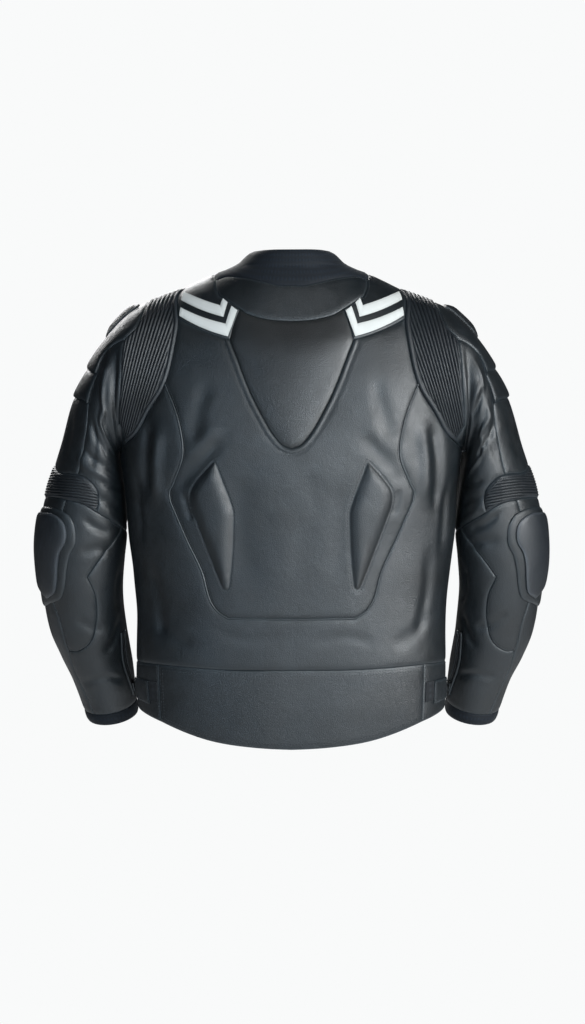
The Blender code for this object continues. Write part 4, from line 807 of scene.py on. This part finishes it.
dressed("collar", torso, both_sides(joined(collar_top, edge_collar, neck_front[::-1], neck_over[::-1],
                                           neck_side[::-1], neck_back[::-1])),
        *SOFT_KNIT, wall=KNIT, puff=1.0, relief=fold_over, pressed=[(collar_fold, 1.2, 0.9)],
        sewn_to="neck_band shoulder_L shoulder_R front_L front_R front_zip")

# ---------------------------------------------------------------- front zip
# A coil zip on woven tape from the hem to the collar's edge, closed, sewn between the two fronts.
ZIP_TAPE = fabric("zip_tape", "#101215", "#25282c", 0.0011, 0.8, 0.4), "zip_tape"
zip_side = joined(edge_collar, edge_upper, edge_lower)
zip_far = zip_side[::-1] * (-1, 1) + (2 * FRONT_MIDDLE, 0)
zip_ends = [spaced([a, b]) for a, b in ((zip_side[-1], zip_far[0]), (zip_far[-1], zip_side[0]))]
dressed("front_zip", torso, chain(zip_side, zip_ends[0], zip_far, zip_ends[1]), *ZIP_TAPE,
        dip=0.6, puff=0.0, sewn_to="front_L front_R collar")


def coil_look(tree):
    """Moulded nylon coil, dyed black, with a hard low shine."""
    return {"Base Color": colour("#1a1c1f"), "Roughness": 0.35}


COIL = finish_material("nylon_coil", coil_look), "zip_tape"
TOOTH_PITCH, TOOTH_LENGTH, TOOTH_RADIUS = 2.0, 0.7, 1.5
zip_middle = zip_side[:, 1:] * (0, 1) + (FRONT_MIDDLE, 0)
grow("front_zip_coil", [on_cloth(torso, zip_middle[2:-2], 0.2)], *COIL, Pitch=TOOTH_PITCH,
     Length=TOOTH_LENGTH, Radius=TOOTH_RADIUS)


def plated(tree):
    """Zinc with a dark nickel plate, tumbled: a satin metal with fine random scratches."""
    at = add(tree, "ShaderNodeTexCoord").outputs["Object"]
    fine = add(tree, "ShaderNodeTexNoise", {"Vector": at, "Scale": 900.0, "Detail": 3.0})
    rough = add(tree, "ShaderNodeMapRange", {"Value": fine.outputs["Fac"], 3: 0.26, 4: 0.44})
    bump = add(tree, "ShaderNodeBump", {"Height": fine.outputs["Fac"], "Strength": 0.15, "Distance": 0.0001})
    return {"Base Color": colour("#55585a"), "Metallic": 1.0, "Roughness": rough.outputs[0],
            "Normal": bump.outputs[0]}


PLATED = finish_material("dark_nickel_plate", plated)
for node in ("front_slider", "front_pull_tab"):
    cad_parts[node].data.materials[0] = PLATED

# ---------------------------------------------------------------- ribbed shoulder panels
# Behind each shoulder a panel of thin leather gathered over stretch cloth in close ribs, so that the arm
# can reach forward. It runs from under the arm over the ridge, and the shoulder caps start at its edge.
SLEEVE_HALF = 190.0       # across the sleeve, from its outer side to the seam under the arm
# sleeve rings from the armhole to the cuff: outer x, z, inner x, z, middle y, half depth, shift, lean
SLEEVE_RINGS = np.array((
    (151, -8, 240, -233, 2, 78, -24, 0), (198, -25.5, 241.5, -236, 1, 80, 14, 0),
    (225, -41, 241.8, -240, 0, 79.5, 11, 0), (260, -79, 242, -246, -2, 78, 8, 0),
    (301, -158, 237.5, -272, -8, 76, 0, 2), (321, -225, 232.3, -308, -14, 72, 0, 4),
    (344, -293, 229.5, -347, -18, 66, 0, 8), (352, -360, 233, -386, -22, 61, 0, 12),
    (348.5, -416, 235.5, -430, -32, 57, 0, 16), (337, -483, 230.5, -482, -50, 53, 0, 19),
    (323, -517, 226, -508, -61, 50, 0, 20), (306, -550, 221.5, -534, -73, 47, 0, 20),
    (286, -607, 214, -598, -92, 44, 0, 18)), float)
RIB_EDGE = ((234, -79), (237, -96), (238.5, -128), (241, -165), (243, -200))
RIB_TOP, RIB_FRONT = (216, -60), -28.0
RIB_HEIGHT, RIB_ROWS, RIB_COLUMN = 2.0, 6, 3.0   # and the rows of points on a rib, and from column to column
COARSE = 26.0             # the CAD's own step, where a seam starts from one of its points


def sleeve_ring(angle, row):
    outer_x, outer_z, inner_x, inner_z, mid_y, half_depth, shift_x, lean = np.moveaxis(row, -1, 0)
    scale, lean = (EYE_BEHIND - mid_y) / EYE_BEHIND, np.radians(lean)
    x = (outer_x + inner_x + (outer_x - inner_x) * np.cos(angle)) / 2 * scale
    z = EYE_HEIGHT + ((outer_z + inner_z + (outer_z - inner_z) * np.cos(angle)) / 2 - EYE_HEIGHT) * scale
    return np.stack((x + shift_x * np.sin(angle) ** 2, mid_y + half_depth * np.sin(angle) * np.cos(lean),
                     z - half_depth * np.sin(angle) * np.sin(lean)), -1)


stations = np.radians((0, 60, 120, 180, 240, 300))
rings_at = np.stack([sleeve_ring(np.full(len(SLEEVE_RINGS), a), SLEEVE_RINGS) for a in stations])
SLEEVE_KNOTS = np.concatenate(([0], np.cumsum(np.linalg.norm(np.diff(rings_at, axis=1), axis=2).mean(0))))
SLEEVE_END = SLEEVE_KNOTS[-1]


def angles_for(places, start):
    """Angles at which the sleeve's first ring passes the armhole's own points."""
    fine = start + np.radians(2) * np.arange(91)
    ring_run = running(sleeve_ring(fine, np.tile(SLEEVE_RINGS[0], (91, 1))))
    run = running(torso_shape(places))
    return smooth(ring_run / ring_run[-1], fine, run / run[-1])


back_angles, front_angles = angles_for(armhole_back, 0), angles_for(armhole_front, pi)
loop_angles = np.concatenate((back_angles, front_angles[1:]))
loop_places = np.concatenate((armhole_back, armhole_front[1:]))
loop_angles = np.concatenate(([loop_angles[-2] - 2 * pi], loop_angles, [loop_angles[1] + 2 * pi]))
loop_places = np.concatenate((loop_places[-2:-1], loop_places, loop_places[1:2]))


def sleeve_shape(side):
    def shape(places):
        angle = places[:, 0] / SLEEVE_HALF * pi
        at = sleeve_ring(angle, smooth(SLEEVE_KNOTS, SLEEVE_RINGS, places[:, 1]))
        left = np.clip(1 - places[:, 1] / SLEEVE_KNOTS[3], 0, None) ** 2
        hole = torso_shape(smooth(loop_angles, loop_places, angle % (2 * pi)))
        at = at + (hole - sleeve_ring(angle, np.tile(SLEEVE_RINGS[0], (len(at), 1)))) * left[:, None]
        return at * (side, 1, 1)
    return shape


sleeves = {hand: Form(sleeve_shape(side), (0, SLEEVE_HALF), (0, SLEEVE_END), -side)
           for hand, side in HANDS.items()}
sleeve = sleeves["L"]
# creases: the deep trough beside the ribs, the slack of the upper arm and the bunching at the elbow
sleeves["L"].crease(
    ((247, -98), (248, -140), (248.5, -178), (240, -236), 11, 4.6),
    ((257, -112), (264, -146), (264, -176), 10, -2.6), ((258, -178), (268, -195), (261, -217), (247, -242), 7, -3.0),
    ((280, -196), (272, -218), (258, -238), 10, 2.4), ((292, -232), (280, -246), (262, -256), (248, -264), 7, 2.6),
    ((286, -238), (296, -248), (280, -262), (250, -279), 7, -2.6), ((268, -276), (252, -284), (238, -288), 8, 2.2),
    ((272, -302), (258, -306), (240, -316), 9, 2.8), ((262, -320), (250, -328), (236, -342), 7, -1.8),
    ((290, -330), (276, -342), (256, -350), 8, 2.8), ((280, -196), (274, -226), (282, -258), 9, 1.8),
    ((306, -184), (310, -214), (320, -246), 12, 2.0), ((296, -380), (272, -372), (246, -378), 10, 2.0),
    ((300, -470), (280, -482), (262, -486), 11, 2.0), ((262, -520), (248, -500), (240, -470), 10, 2.4),
    ((292, -560), (262, -552), (236, -556), 8, 1.8), ((240, -400), (244, -430), (240, -462), 10, 2.4),
)
sleeves["R"].crease(
    ((248, -96), (250, -136), (250, -174), (242, -232), 11, 4.4),
    ((256, -108), (262, -122), (268, -142), (250, -172), 8, -2.8), ((272, -176), (278, -186), (262, -214), 8, -3.0),
    ((268, -150), (262, -170), (252, -190), 8, 2.6), ((290, -196), (276, -216), (264, -236), (266, -250), 8, 2.4),
    ((264, -216), (268, -236), (256, -256), (246, -270), 7, -2.6), ((270, -278), (254, -282), (238, -286), 8, 2.2),
    ((274, -298), (256, -302), (240, -308), 9, 2.8), ((264, -316), (252, -326), (236, -336), 7, -1.8),
    ((290, -322), (272, -338), (250, -344), 8, 3.0), ((284, -186), (280, -216), (290, -246), 9, 1.8),
    ((306, -186), (312, -222), (322, -250), 12, 2.0), ((292, -366), (268, -362), (244, -370), 10, 2.2),
    ((304, -462), (284, -476), (258, -482), 11, 2.2), ((258, -512), (246, -490), (240, -462), 10, 2.4),
    ((288, -552), (260, -548), (234, -548), 8, 2.0), ((242, -396), (244, -424), (238, -450), 10, 2.2),
)
# the same kind on the sides that the photo hides, by the place across and along
for form, turn in ((sleeves["L"], 1.0), (sleeves["R"], 0.94)):
    form.hidden_crease(
        ((-158, 52), (-160, 160 * turn), (-156, 262), 17, -8.2), ((-120, 70), (-112, 130), (-104, 190 * turn), 12, 3.4),
        ((-80, 210), (-120, 236 * turn), (-160, 246), 9, 3.6), ((-70, 240), (-110, 262), (-150, 276 * turn), 8, -2.6),
        ((-60, 300 * turn), (-100, 312), (-150, 304), 10, 3.4), ((-40, 120), (-50, 160), (-44, 200 * turn), 13, 2.4),
        ((-90, 350), (-120, 372 * turn), (-170, 366), 10, 2.4), ((-30, 400), (-70, 430 * turn), (-120, 436), 12, 2.2),
        ((-60, 480), (-110, 470 * turn), (-160, 476), 10, 2.2), ((-20, 500), (-60, 512 * turn), (-110, 508), 8, 1.6),
    )
torso.hidden_crease(
    ((330, 250), (342, 330), (336, 410), 15, 3.4), ((-334, 262), (-346, 340), (-338, 420), 14, 3.2),
    ((400, 210), (430, 260), (470, 300), 14, 2.6), ((-396, 220), (-436, 262), (-480, 290), 14, 2.6),
    ((560, 330), (500, 352), (430, 346), 13, 2.4), ((-556, 300), (-500, 330), (-440, 330), 12, 2.4),
    ((560, 440), (500, 452), (440, 470), 12, 2.2), ((-560, 470), (-480, 466), (-430, 480), 12, 2.2),
    ((380, 480), (420, 520), (480, 540), 12, 2.2), ((-372, 470), (-410, 520), (-470, 548), 12, 2.2),
)


def round_sleeve(degrees, along):
    return np.array((degrees / 180 * SLEEVE_HALF, along))


back_edge = np.stack((back_angles / pi * SLEEVE_HALF, np.zeros(len(back_angles))), 1)
front_edge = np.stack((front_angles / pi * SLEEVE_HALF - 2 * SLEEVE_HALF, np.zeros(len(front_angles))), 1)
back_edge[-1, 0], front_edge[0, 0] = SLEEVE_HALF, -SLEEVE_HALF
coarse_front = spaced(front_rows[::-1], COARSE)
coarse_x = front_edge[[nearest(armhole_front, place) for place in coarse_front], 0]
rib_front = nearest(armhole_front, coarse_front[np.argmin(abs(coarse_x - RIB_FRONT / 180 * SLEEVE_HALF))])
rib_foot = nearest(armhole_back, spaced(armhole_rows, COARSE)[-2])
rib_ridge, rib_over = round_sleeve(0, SLEEVE_KNOTS[1]), round_sleeve(RIB_FRONT, SLEEVE_KNOTS[1] - 4)
rib_edge = sleeve.trace(RIB_EDGE)
rib_low = spaced([rib_edge[-1], back_edge[rib_foot]])
rib_top = spaced([rib_over, rib_ridge, sleeve.find(RIB_TOP)[0], rib_edge[0]])
rib_side = spaced([front_edge[rib_front], rib_over])
shoulder_rib = chain(front_edge[rib_front:], back_edge[:rib_foot + 1], rib_low[::-1], rib_edge[::-1],
                     rib_top[::-1], rib_side[::-1])


def rib_lattice(form, outline, measure, spacing):
    """Points in rows along each rib, which split its own spacing evenly, on columns."""
    low, high = outline.min(0) - 6, outline.max(0) + 6
    found = []
    rows = np.arange(low[1], high[1], 1.0)
    for column in np.arange(low[0], high[0], RIB_COLUMN):
        across = measure(form.shape(np.stack((np.full(len(rows), column), rows), 1)))
        first, last = across.min() * RIB_ROWS / spacing, across.max() * RIB_ROWS / spacing
        steps = np.arange(np.floor(first), last) * spacing / RIB_ROWS
        order = np.argsort(across)
        found.append(np.stack((np.full(len(steps), column), np.interp(steps, across[order], rows[order])), 1))
    return np.concatenate(found)


def rib_relief(form, measure, spacing, height, plain=None, plain_width=6.0):
    """Round-topped ribs with narrow valleys, dying away at the seams, and a plain welt along one edge."""
    def relief(places, base, off):
        top = abs(np.sin(pi * measure(base) / spacing)) ** 0.8
        fade = np.clip((off - 1.0) / 2.5, 0, 1)
        welt = np.zeros(len(base))
        if plain is not None:
            away = apart(base, form.shape(plain))
            fade = fade * np.clip((away - plain_width) / 1.6, 0, 1)
            welt = 1.7 * np.sin(pi * np.clip(away / plain_width, 0, 1)) ** 0.7
        return height * top * fade + welt
    return relief


RIB_FAN, RIB_RADIUS = (300, -476), 366.0   # the ribs' lines meet far below, here in x and z


def shoulder_measure(points):
    """Across the shoulder's ribs, in millimetres at their middle."""
    return np.arctan2(abs(points[:, 0]) - RIB_FAN[0], points[:, 2] - RIB_FAN[1]) * RIB_RADIUS


def elbow_measure(points):
    """Across the elbow's ribs, which run round the arm with a slight fall."""
    return abs(points[:, 0]) * 0.17 + points[:, 1] * 0.1 - points[:, 2] * 0.98


RIB_PITCH = 4.1
RIBBED = (leather("ribbed_lambskin", "#090d11", "#0f151a", "#242b30", 0.5, grain=0.0016, wrinkle=0.15,
                  slack=0.1), "ribbed_leather")
for hand, form in sleeves.items():
    dressed("shoulder_rib_" + hand, form, shoulder_rib, *RIBBED, pitch=3.0, dip=0.8, puff=0.0,
            lattice=rib_lattice(form, shoulder_rib, shoulder_measure, RIB_PITCH),
            relief=rib_relief(form, shoulder_measure, RIB_PITCH, RIB_HEIGHT, back_edge[:rib_foot + 1]),
            sewn_to="shoulder_# back_main cap_mid_# arm_back_#")

# ---------------------------------------------------------------- shoulder caps
# Three overlapping armour segments on each shoulder: two padded leather ones whose lower edges stand off
# the next, and a moulded synthetic cup sewn on top of them, matt and firmer than the hide.
CAP_BACK = ((234, -79), (249, -86), (263, -101), (272.5, -126), (281, -154), (284, -168))
CAP_MID_FOOT, CAP_LOW_FOOT, CAP_MID_ROW, CAP_FRONT = (284, -116), (302, -159), 3, -70.0
CAP_TOP = ((14, 258, -82), (0, 262, -84), (-45, 262, -84), (-58, 240, -58), (-45, 222, -46), (6, 222, -46),
           (14, 224, -50))
CAP_STEP, CAP_RISE, CAP_DOME, CAP_WALL = 4.0, 48.0, 6.0, 3.0
cap_back = sleeve.trace(CAP_BACK)
mid_at = nearest(cap_back, sleeve.find(CAP_BACK[CAP_MID_ROW])[0])
cap_front_x = CAP_FRONT / 180 * SLEEVE_HALF
mid_outer, low_outer = sleeve.find(CAP_MID_FOOT, CAP_LOW_FOOT)
cap_mid_foot = spaced([cap_back[mid_at], mid_outer, (cap_front_x, mid_outer[1])])
cap_low_foot = spaced([cap_back[-1], low_outer, (cap_front_x, low_outer[1])])
cap_front = spaced([cap_low_foot[-1], cap_mid_foot[-1]])
cap_front_up = spaced([cap_mid_foot[-1], (cap_front_x, SLEEVE_KNOTS[1]), rib_over])
CUP, SHOULDER_CUP = ((leather(name, *tones, grain=0.0015, wrinkle=0.05, slack=0.0), "moulded_cup")
                     for name, *tones in (("moulded_cup", "#14181c", "#1b1f24", "#40454a", 0.42),
                                          ("moulded_shoulder_cup", "#0b0e10", "#111518", "#1d2225", 0.48)))


def step_over(form, foot):
    """A segment rises towards its foot, where its edge stands off the next one."""
    line = form.shape(foot)

    def height(places, base, off):
        away = np.linalg.norm(base[:, None] - line[None, ::2], axis=2).min(1)
        return CAP_STEP * np.clip(1 - away / CAP_RISE, 0, 1)
    return height


cap_top = straight(np.array([round_sleeve(degrees, sleeve.find((x, z))[0, 1]) for degrees, x, z in CAP_TOP]), 3.0)
for hand, form in sleeves.items():
    mid_height, low_height = step_over(form, cap_mid_foot), step_over(form, cap_low_foot)
    dressed("cap_mid_" + hand, form, chain(rib_top, cap_back[:mid_at + 1], cap_mid_foot, cap_front_up),
            *HIDE, relief=mid_height, puff=1.0, topstitch=(2.8,),
            sewn_to="shoulder_rib_# cap_low_# arm_front_#")
    dressed("cap_low_" + hand, form, chain(cap_back[mid_at:], cap_low_foot, cap_front, cap_mid_foot[::-1]),
            *HIDE, relief=low_height, puff=1.0, topstitch=(2.8,),
            sewn_to="cap_mid_# arm_back_# arm_front_#")

    def dome(places, base, off, lower=mid_height):
        return lower(places, base, off) + CAP_DOME * (1 - np.exp(-(off / 9) ** 1.2))
    dressed("cap_top_" + hand, form, cap_top, *SHOULDER_CUP, wall=CAP_WALL, lift=LIE_GAP + CAP_WALL,
            relief=dome, dip=0.0, gap=0.0, pitch=3.2, sewn_to="cap_mid_# shoulder_rib_#")

# ---------------------------------------------------------------- upper arms and elbow ribs
# A back and a front panel for each upper arm, and over the elbow a band of the same gathered leather,
# with its ribs round the arm, which lets the elbow bend.
ARM_SEAM = ((284, -168), (287, -200), (293, -236), (300, -268.5))
ELBOW_RIB_TOP = ((300, -268.5), (289.5, -272.5), (279, -281))
ELBOW_RIB_END = ((279, -281), (271.5, -291), (269, -304), (273, -321))
ELBOW_RIB_LOW = ((273, -321), (294, -309), (316, -303.5))
ELBOW_RIB_OUTER, ELBOW_SEAM, ELBOW_FRONT = ((328, -264), (343, -303)), (250, -334), -38.0
arm_seam, rib_b_top, rib_b_end, rib_b_low = (sleeve.trace(seam) for seam in (
    ARM_SEAM, ELBOW_RIB_TOP, ELBOW_RIB_END, ELBOW_RIB_LOW))
outer_top_place, outer_low_place = sleeve.find(*ELBOW_RIB_OUTER)
top_front = round_sleeve(ELBOW_FRONT, outer_top_place[1] - 6)
low_front = round_sleeve(ELBOW_FRONT, outer_low_place[1] - 2)
rib_b_over = spaced([top_front, outer_top_place, rib_b_top[0]])
rib_b_under = spaced([rib_b_low[-1], outer_low_place, low_front])
elbow_corner = np.array((SLEEVE_HALF, SLEEVE_KNOTS[6]))
elbow_rows = [rib_b_end[-1], sleeve.find(ELBOW_SEAM)[0], elbow_corner]
elbow_in = spaced(elbow_rows)
elbow_front = spaced([elbow_corner * (-1, 1), (-SLEEVE_HALF * 0.6, SLEEVE_KNOTS[6] + 8), low_front])
arm_under = spaced([back_edge[-1], elbow_in[-1]])
elbow_rib = chain(rib_b_over, rib_b_top, rib_b_end, rib_b_low, rib_b_under, spaced([low_front, top_front]))
ELBOW_PITCH, ELBOW_RIB_HEIGHT = 3.8, 1.7
for hand, form in sleeves.items():
    dressed("arm_back_" + hand, form, chain(rib_edge, rib_low, back_edge[rib_foot:], arm_under, elbow_in[::-1],
                                            rib_b_end[::-1], rib_b_top[::-1], arm_seam[::-1], cap_back[::-1]),
            *HIDE, pitch=3.6,
            sewn_to="shoulder_rib_# arm_front_# elbow_rib_# forearm_back_#")
    dressed("arm_front_" + hand, form,
            chain(front_edge[:rib_front + 1], rib_side, cap_front_up[::-1], cap_front[::-1], cap_low_foot[::-1],
                  arm_seam, rib_b_over[::-1], spaced([top_front, low_front]), elbow_front[::-1],
                  arm_under[::-1] * (-1, 1)),
            *HIDE, sewn_to="arm_back_# front_# cap_low_#")
    dressed("elbow_rib_" + hand, form, elbow_rib, *RIBBED, dip=0.8, puff=0.6,
            lattice=rib_lattice(form, elbow_rib, elbow_measure, ELBOW_PITCH),
            relief=rib_relief(form, elbow_measure, ELBOW_PITCH, ELBOW_RIB_HEIGHT),
            sewn_to="arm_back_# arm_front_# forearm_back_#")

# ---------------------------------------------------------------- forearms
# Each forearm has a back panel down to a curved seam, an under panel inside that seam, which carries
# the zip, and a front panel round the outer side.
FOREARM_CURVE = ((286, -412), (274, -440), (272.5, -474), (281, -503), (299, -516), (313, -515.5))
OUTER_SEAM = ((332, -380), (334, -446))
FOREARM_OUTER = ((334, -446), (323.5, -477), (313, -515.5))
FOREARM_LOW = ((313, -515.5), (300, -552), (283, -584))
CUFF_HEIGHT = 17.0
curve_at = nearest(elbow_in, spaced(elbow_rows, COARSE)[-2])
fore_curve = joined(spaced([elbow_in[curve_at], sleeve.find(FOREARM_CURVE[0])[0]]), sleeve.trace(FOREARM_CURVE))
outer_top = spaced(np.concatenate((rib_b_low[-1:], sleeve.find(*OUTER_SEAM))))
outer_mid, cuff_at = sleeve.trace(FOREARM_OUTER), SLEEVE_END - CUFF_HEIGHT
low_rows = sleeve.find(*FOREARM_LOW)
low_rows[-1, 1] = cuff_at
outer_low = spaced(low_rows)
cuff_x = outer_low[-1, 0]
cuff_back = spaced([(cuff_x, cuff_at), (SLEEVE_HALF, cuff_at)])
cuff_front = spaced([(-SLEEVE_HALF, cuff_at), (cuff_x, cuff_at)])
fore_under = spaced([elbow_in[-1], (SLEEVE_HALF, cuff_at)])
for hand, form in sleeves.items():
    dressed("forearm_back_" + hand, form,
            chain(rib_b_low, outer_top, outer_mid, fore_curve[::-1], elbow_in[:curve_at + 1][::-1]),
            *HIDE, pitch=3.6, sewn_to="arm_back_# forearm_front_#", topstitch=(2.8,))
    dressed("forearm_under_" + hand, form,
            chain(fore_curve, outer_low, cuff_back, fore_under[::-1], elbow_in[curve_at:][::-1]),
            *HIDE, pitch=3.6, sewn_to="forearm_back_# cuff_#")
    dressed("forearm_front_" + hand, form,
            chain(elbow_front, rib_b_under[::-1], outer_top, outer_mid, outer_low, cuff_front[::-1],
                  fore_under[::-1] * (-1, 1)),
            *HIDE, sewn_to="forearm_back_# elbow_rib_# cuff_#")

# ---------------------------------------------------------------- cuffs
# A soft band of the collar's stretch fabric round the end of each sleeve, folded over and sewn.
hem = spaced([(-SLEEVE_HALF, SLEEVE_END), (SLEEVE_HALF, SLEEVE_END)])
cuff_end = spaced([(SLEEVE_HALF, cuff_at), (SLEEVE_HALF, SLEEVE_END)])
for hand, form in sleeves.items():
    dressed("cuff_" + hand, form, chain(cuff_front, cuff_back, cuff_end, hem[::-1], cuff_end[::-1] * (-1, 1)),
            *SOFT_KNIT, wall=KNIT, puff=0.8, gap=0.15,
            sewn_to="forearm_back_# forearm_front_# forearm_under_#")

# ---------------------------------------------------------------- elbow cups
# A firm moulded cup at each elbow, held in a padded leather frame that is sewn to the forearm.
ELBOW_FRAME = ((333, -447), (322, -441), (317, -425), (314.5, -402), (310, -381), (303, -367), (302, -351),
               (305, -336), (313, -324), (331, -315))
ELBOW_CUP = ((337, -440), (328, -432), (325.5, -414), (325, -396), (322, -377), (315, -364), (313, -351),
             (315.5, -338), (323, -328), (334, -322))
FRAME_OVER = ((-6, 350, -322), (-22, 351, -350), (-24, 350, -395), (-10, 346, -428), (8, 342, -444))
CUP_OVER = ((0, 350, -328), (-14, 351, -352), (-15, 350, -392), (-2, 346, -422))
CUP_WALL = 4.0


def cup_outline(seen, over):
    edge = sleeve.trace(seen, 3.0)
    wrapped = [round_sleeve(degrees, sleeve.find((x, z))[0, 1]) for degrees, x, z in over]
    return chain(edge, spaced([edge[-1]] + wrapped + [edge[0]], 3.0))


frame_line, cup_line = cup_outline(ELBOW_FRAME, FRAME_OVER), cup_outline(ELBOW_CUP, CUP_OVER)
for hand, form in sleeves.items():
    dressed("elbow_frame_" + hand, form, frame_line, *HIDE, wall=CAP_WALL,
            lift=LIE_GAP + CAP_WALL, dip=1.6, puff=0.8, gap=0.0, pitch=3.2, sewn_to="forearm_back_#",
            pressed=[(form.beside(frame_line, off, True), 0.9, 1.1) for off in (4.2, 8.0)])
    dressed("elbow_cup_" + hand, form, cup_line, *CUP, wall=CUP_WALL,
            lift=2 * LIE_GAP + CAP_WALL + CUP_WALL, dip=1.4, puff=1.2, gap=0.0, pitch=3.2,
            sewn_to="elbow_frame_#")

# ---------------------------------------------------------------- sleeve zips
# A short closed zip inside each forearm, to open the cuff over a glove.
SLEEVE_ZIP = ((236, -488), (231, -536), (220, -574))
SLEEVE_ZIP_HALF, ZIP_WALL = 4.0, 1.5
SMALL_TOOTH = 1.2         # radius of its teeth
LIP_AT, LIP_RISE, LIP_RADIUS = 6.0, 1.2, 1.7   # the rolled edges of hide beside it
zip_line = spaced(sleeve.find(*SLEEVE_ZIP))
sleeve_zip = joined(zip_line - (SLEEVE_ZIP_HALF, 0), spaced([zip_line[-1] - (SLEEVE_ZIP_HALF, 0),
                                                             zip_line[-1] + (SLEEVE_ZIP_HALF, 0)], 2.0),
                    zip_line[::-1] + (SLEEVE_ZIP_HALF, 0))
for hand, form in sleeves.items():
    dressed("sleeve_zip_" + hand, form, sleeve_zip, *ZIP_TAPE, wall=ZIP_WALL, lift=LIE_GAP + ZIP_WALL,
            dip=0.3, puff=0.0, gap=0.0, pitch=2.2, sewn_to="forearm_under_#")
    grow("sleeve_zip_coil_" + hand, [on_cloth(form, zip_line[1:-1], LIE_GAP + ZIP_WALL + 0.1)], *COIL,
         Pitch=TOOTH_PITCH, Length=TOOTH_LENGTH, Radius=SMALL_TOOTH)
    grow("sleeve_zip_lips_" + hand, [on_cloth(form, zip_line + (off, 0), LIP_RISE) for off in (-LIP_AT, LIP_AT)],
         *HIDE, Radius=LIP_RADIUS)
    for node in ("sleeve_slider_", "sleeve_pull_tab_"):
        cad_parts[node + hand].data.materials[0] = PLATED

# ---------------------------------------------------------------- the studio
# A plain pale floor and five soft lamps. Seen from the camera, the key lamp hangs a little to the right of
# it, a strong side lamp far to the right and a weak bluish fill on the left, with a faint top lamp above
# and one more for the front. The camera stands 3.5 m behind the jacket, level with its middle.
FLOOR, FLOOR_RADIUS = -1.45, 9.0
BACKDROP = "#f9fafa"      # what the camera sees of floor and sky
CAMERA_AT, LENS, SENSOR = (-0.0014, 3.5, -0.3206), 87.89, 36.0


def paper(tree):
    """Wide studio paper: quite matt, and pale enough to throw soft light back up."""
    return {"Base Color": colour("#e8e9ea"), "Roughness": 0.9, "Specular IOR Level": 0.1}


paper_look = finish_material("studio_paper", paper)
tree = paper_look.node_tree
glow = add(tree, "ShaderNodeEmission", {"Color": colour(BACKDROP), "Strength": 1.0})
lit = add(tree, "ShaderNodeMixShader", {0: add(tree, "ShaderNodeLightPath").outputs["Is Camera Ray"],
                                        1: tree.nodes["Principled BSDF"].outputs[0], 2: glow.outputs[0]})
tree.links.new(lit.outputs[0], tree.nodes["Material Output"].inputs["Surface"])
shape = bmesh.new()
bmesh.ops.create_circle(shape, cap_ends=True, segments=64, radius=FLOOR_RADIUS)
bmesh.ops.translate(shape, verts=shape.verts, vec=(0, 0, FLOOR))
mesh = bpy.data.meshes.new("floor")
shape.to_mesh(mesh)
shape.free()
mesh.materials.append(paper_look)
floor = placed("floor", mesh)


def lamp(name, place, target, width, height, watts, tint):
    light = bpy.data.lights.new(name, "AREA")
    light.shape, light.size, light.size_y, light.energy = "RECTANGLE", width, height, watts
    light.color = colour(tint)[:3]
    made = placed(name, light)
    made.location = place
    made.rotation_euler = (Vector(target) - Vector(place)).to_track_quat("-Z", "Y").to_euler()


lamp("key_lamp", (-0.95, 3.35, 0.1), (0, 0, -0.3), 1.3, 0.6, 62, "#e2f0fa")
lamp("side_lamp", (-2.6, 2.2, 0.5), (0, 0, -0.25), 1.8, 1.2, 152, "#f4f8fa")
lamp("fill_lamp", (1.5, 3.2, 0.2), (0, 0, -0.3), 0.6, 1.6, 24, "#cbe4fa")
lamp("top_lamp", (-0.2, 1.9, 2.2), (0, 0, -0.2), 1.2, 0.8, 5, "#ffffff")
lamp("front_lamp", (0.9, -3.0, 1.6), (0, 0, -0.3), 2.0, 1.6, 90, "#ffffff")

world = bpy.data.worlds.new("studio")
bpy.context.scene.world = world
world.use_nodes = True
tree = world.node_tree
tree.nodes.clear()
seen_by = add(tree, "ShaderNodeLightPath").outputs["Is Camera Ray"]
dim = add(tree, "ShaderNodeBackground", {"Color": colour("#dfe3e8"), "Strength": 0.05})
bright = add(tree, "ShaderNodeBackground", {"Color": colour(BACKDROP), "Strength": 1.0})
both = add(tree, "ShaderNodeMixShader", {0: seen_by, 1: dim.outputs[0], 2: bright.outputs[0]})
add(tree, "ShaderNodeOutputWorld", {"Surface": both.outputs[0]})

eye = bpy.data.cameras.new("photo_camera")
eye.sensor_fit, eye.sensor_height, eye.lens = "VERTICAL", SENSOR, LENS
camera = placed("photo_camera", eye)
camera.location, camera.rotation_euler = CAMERA_AT, (pi / 2, 0, pi)
bpy.context.scene.camera = camera
bpy.context.scene.view_settings.view_transform = "Standard"
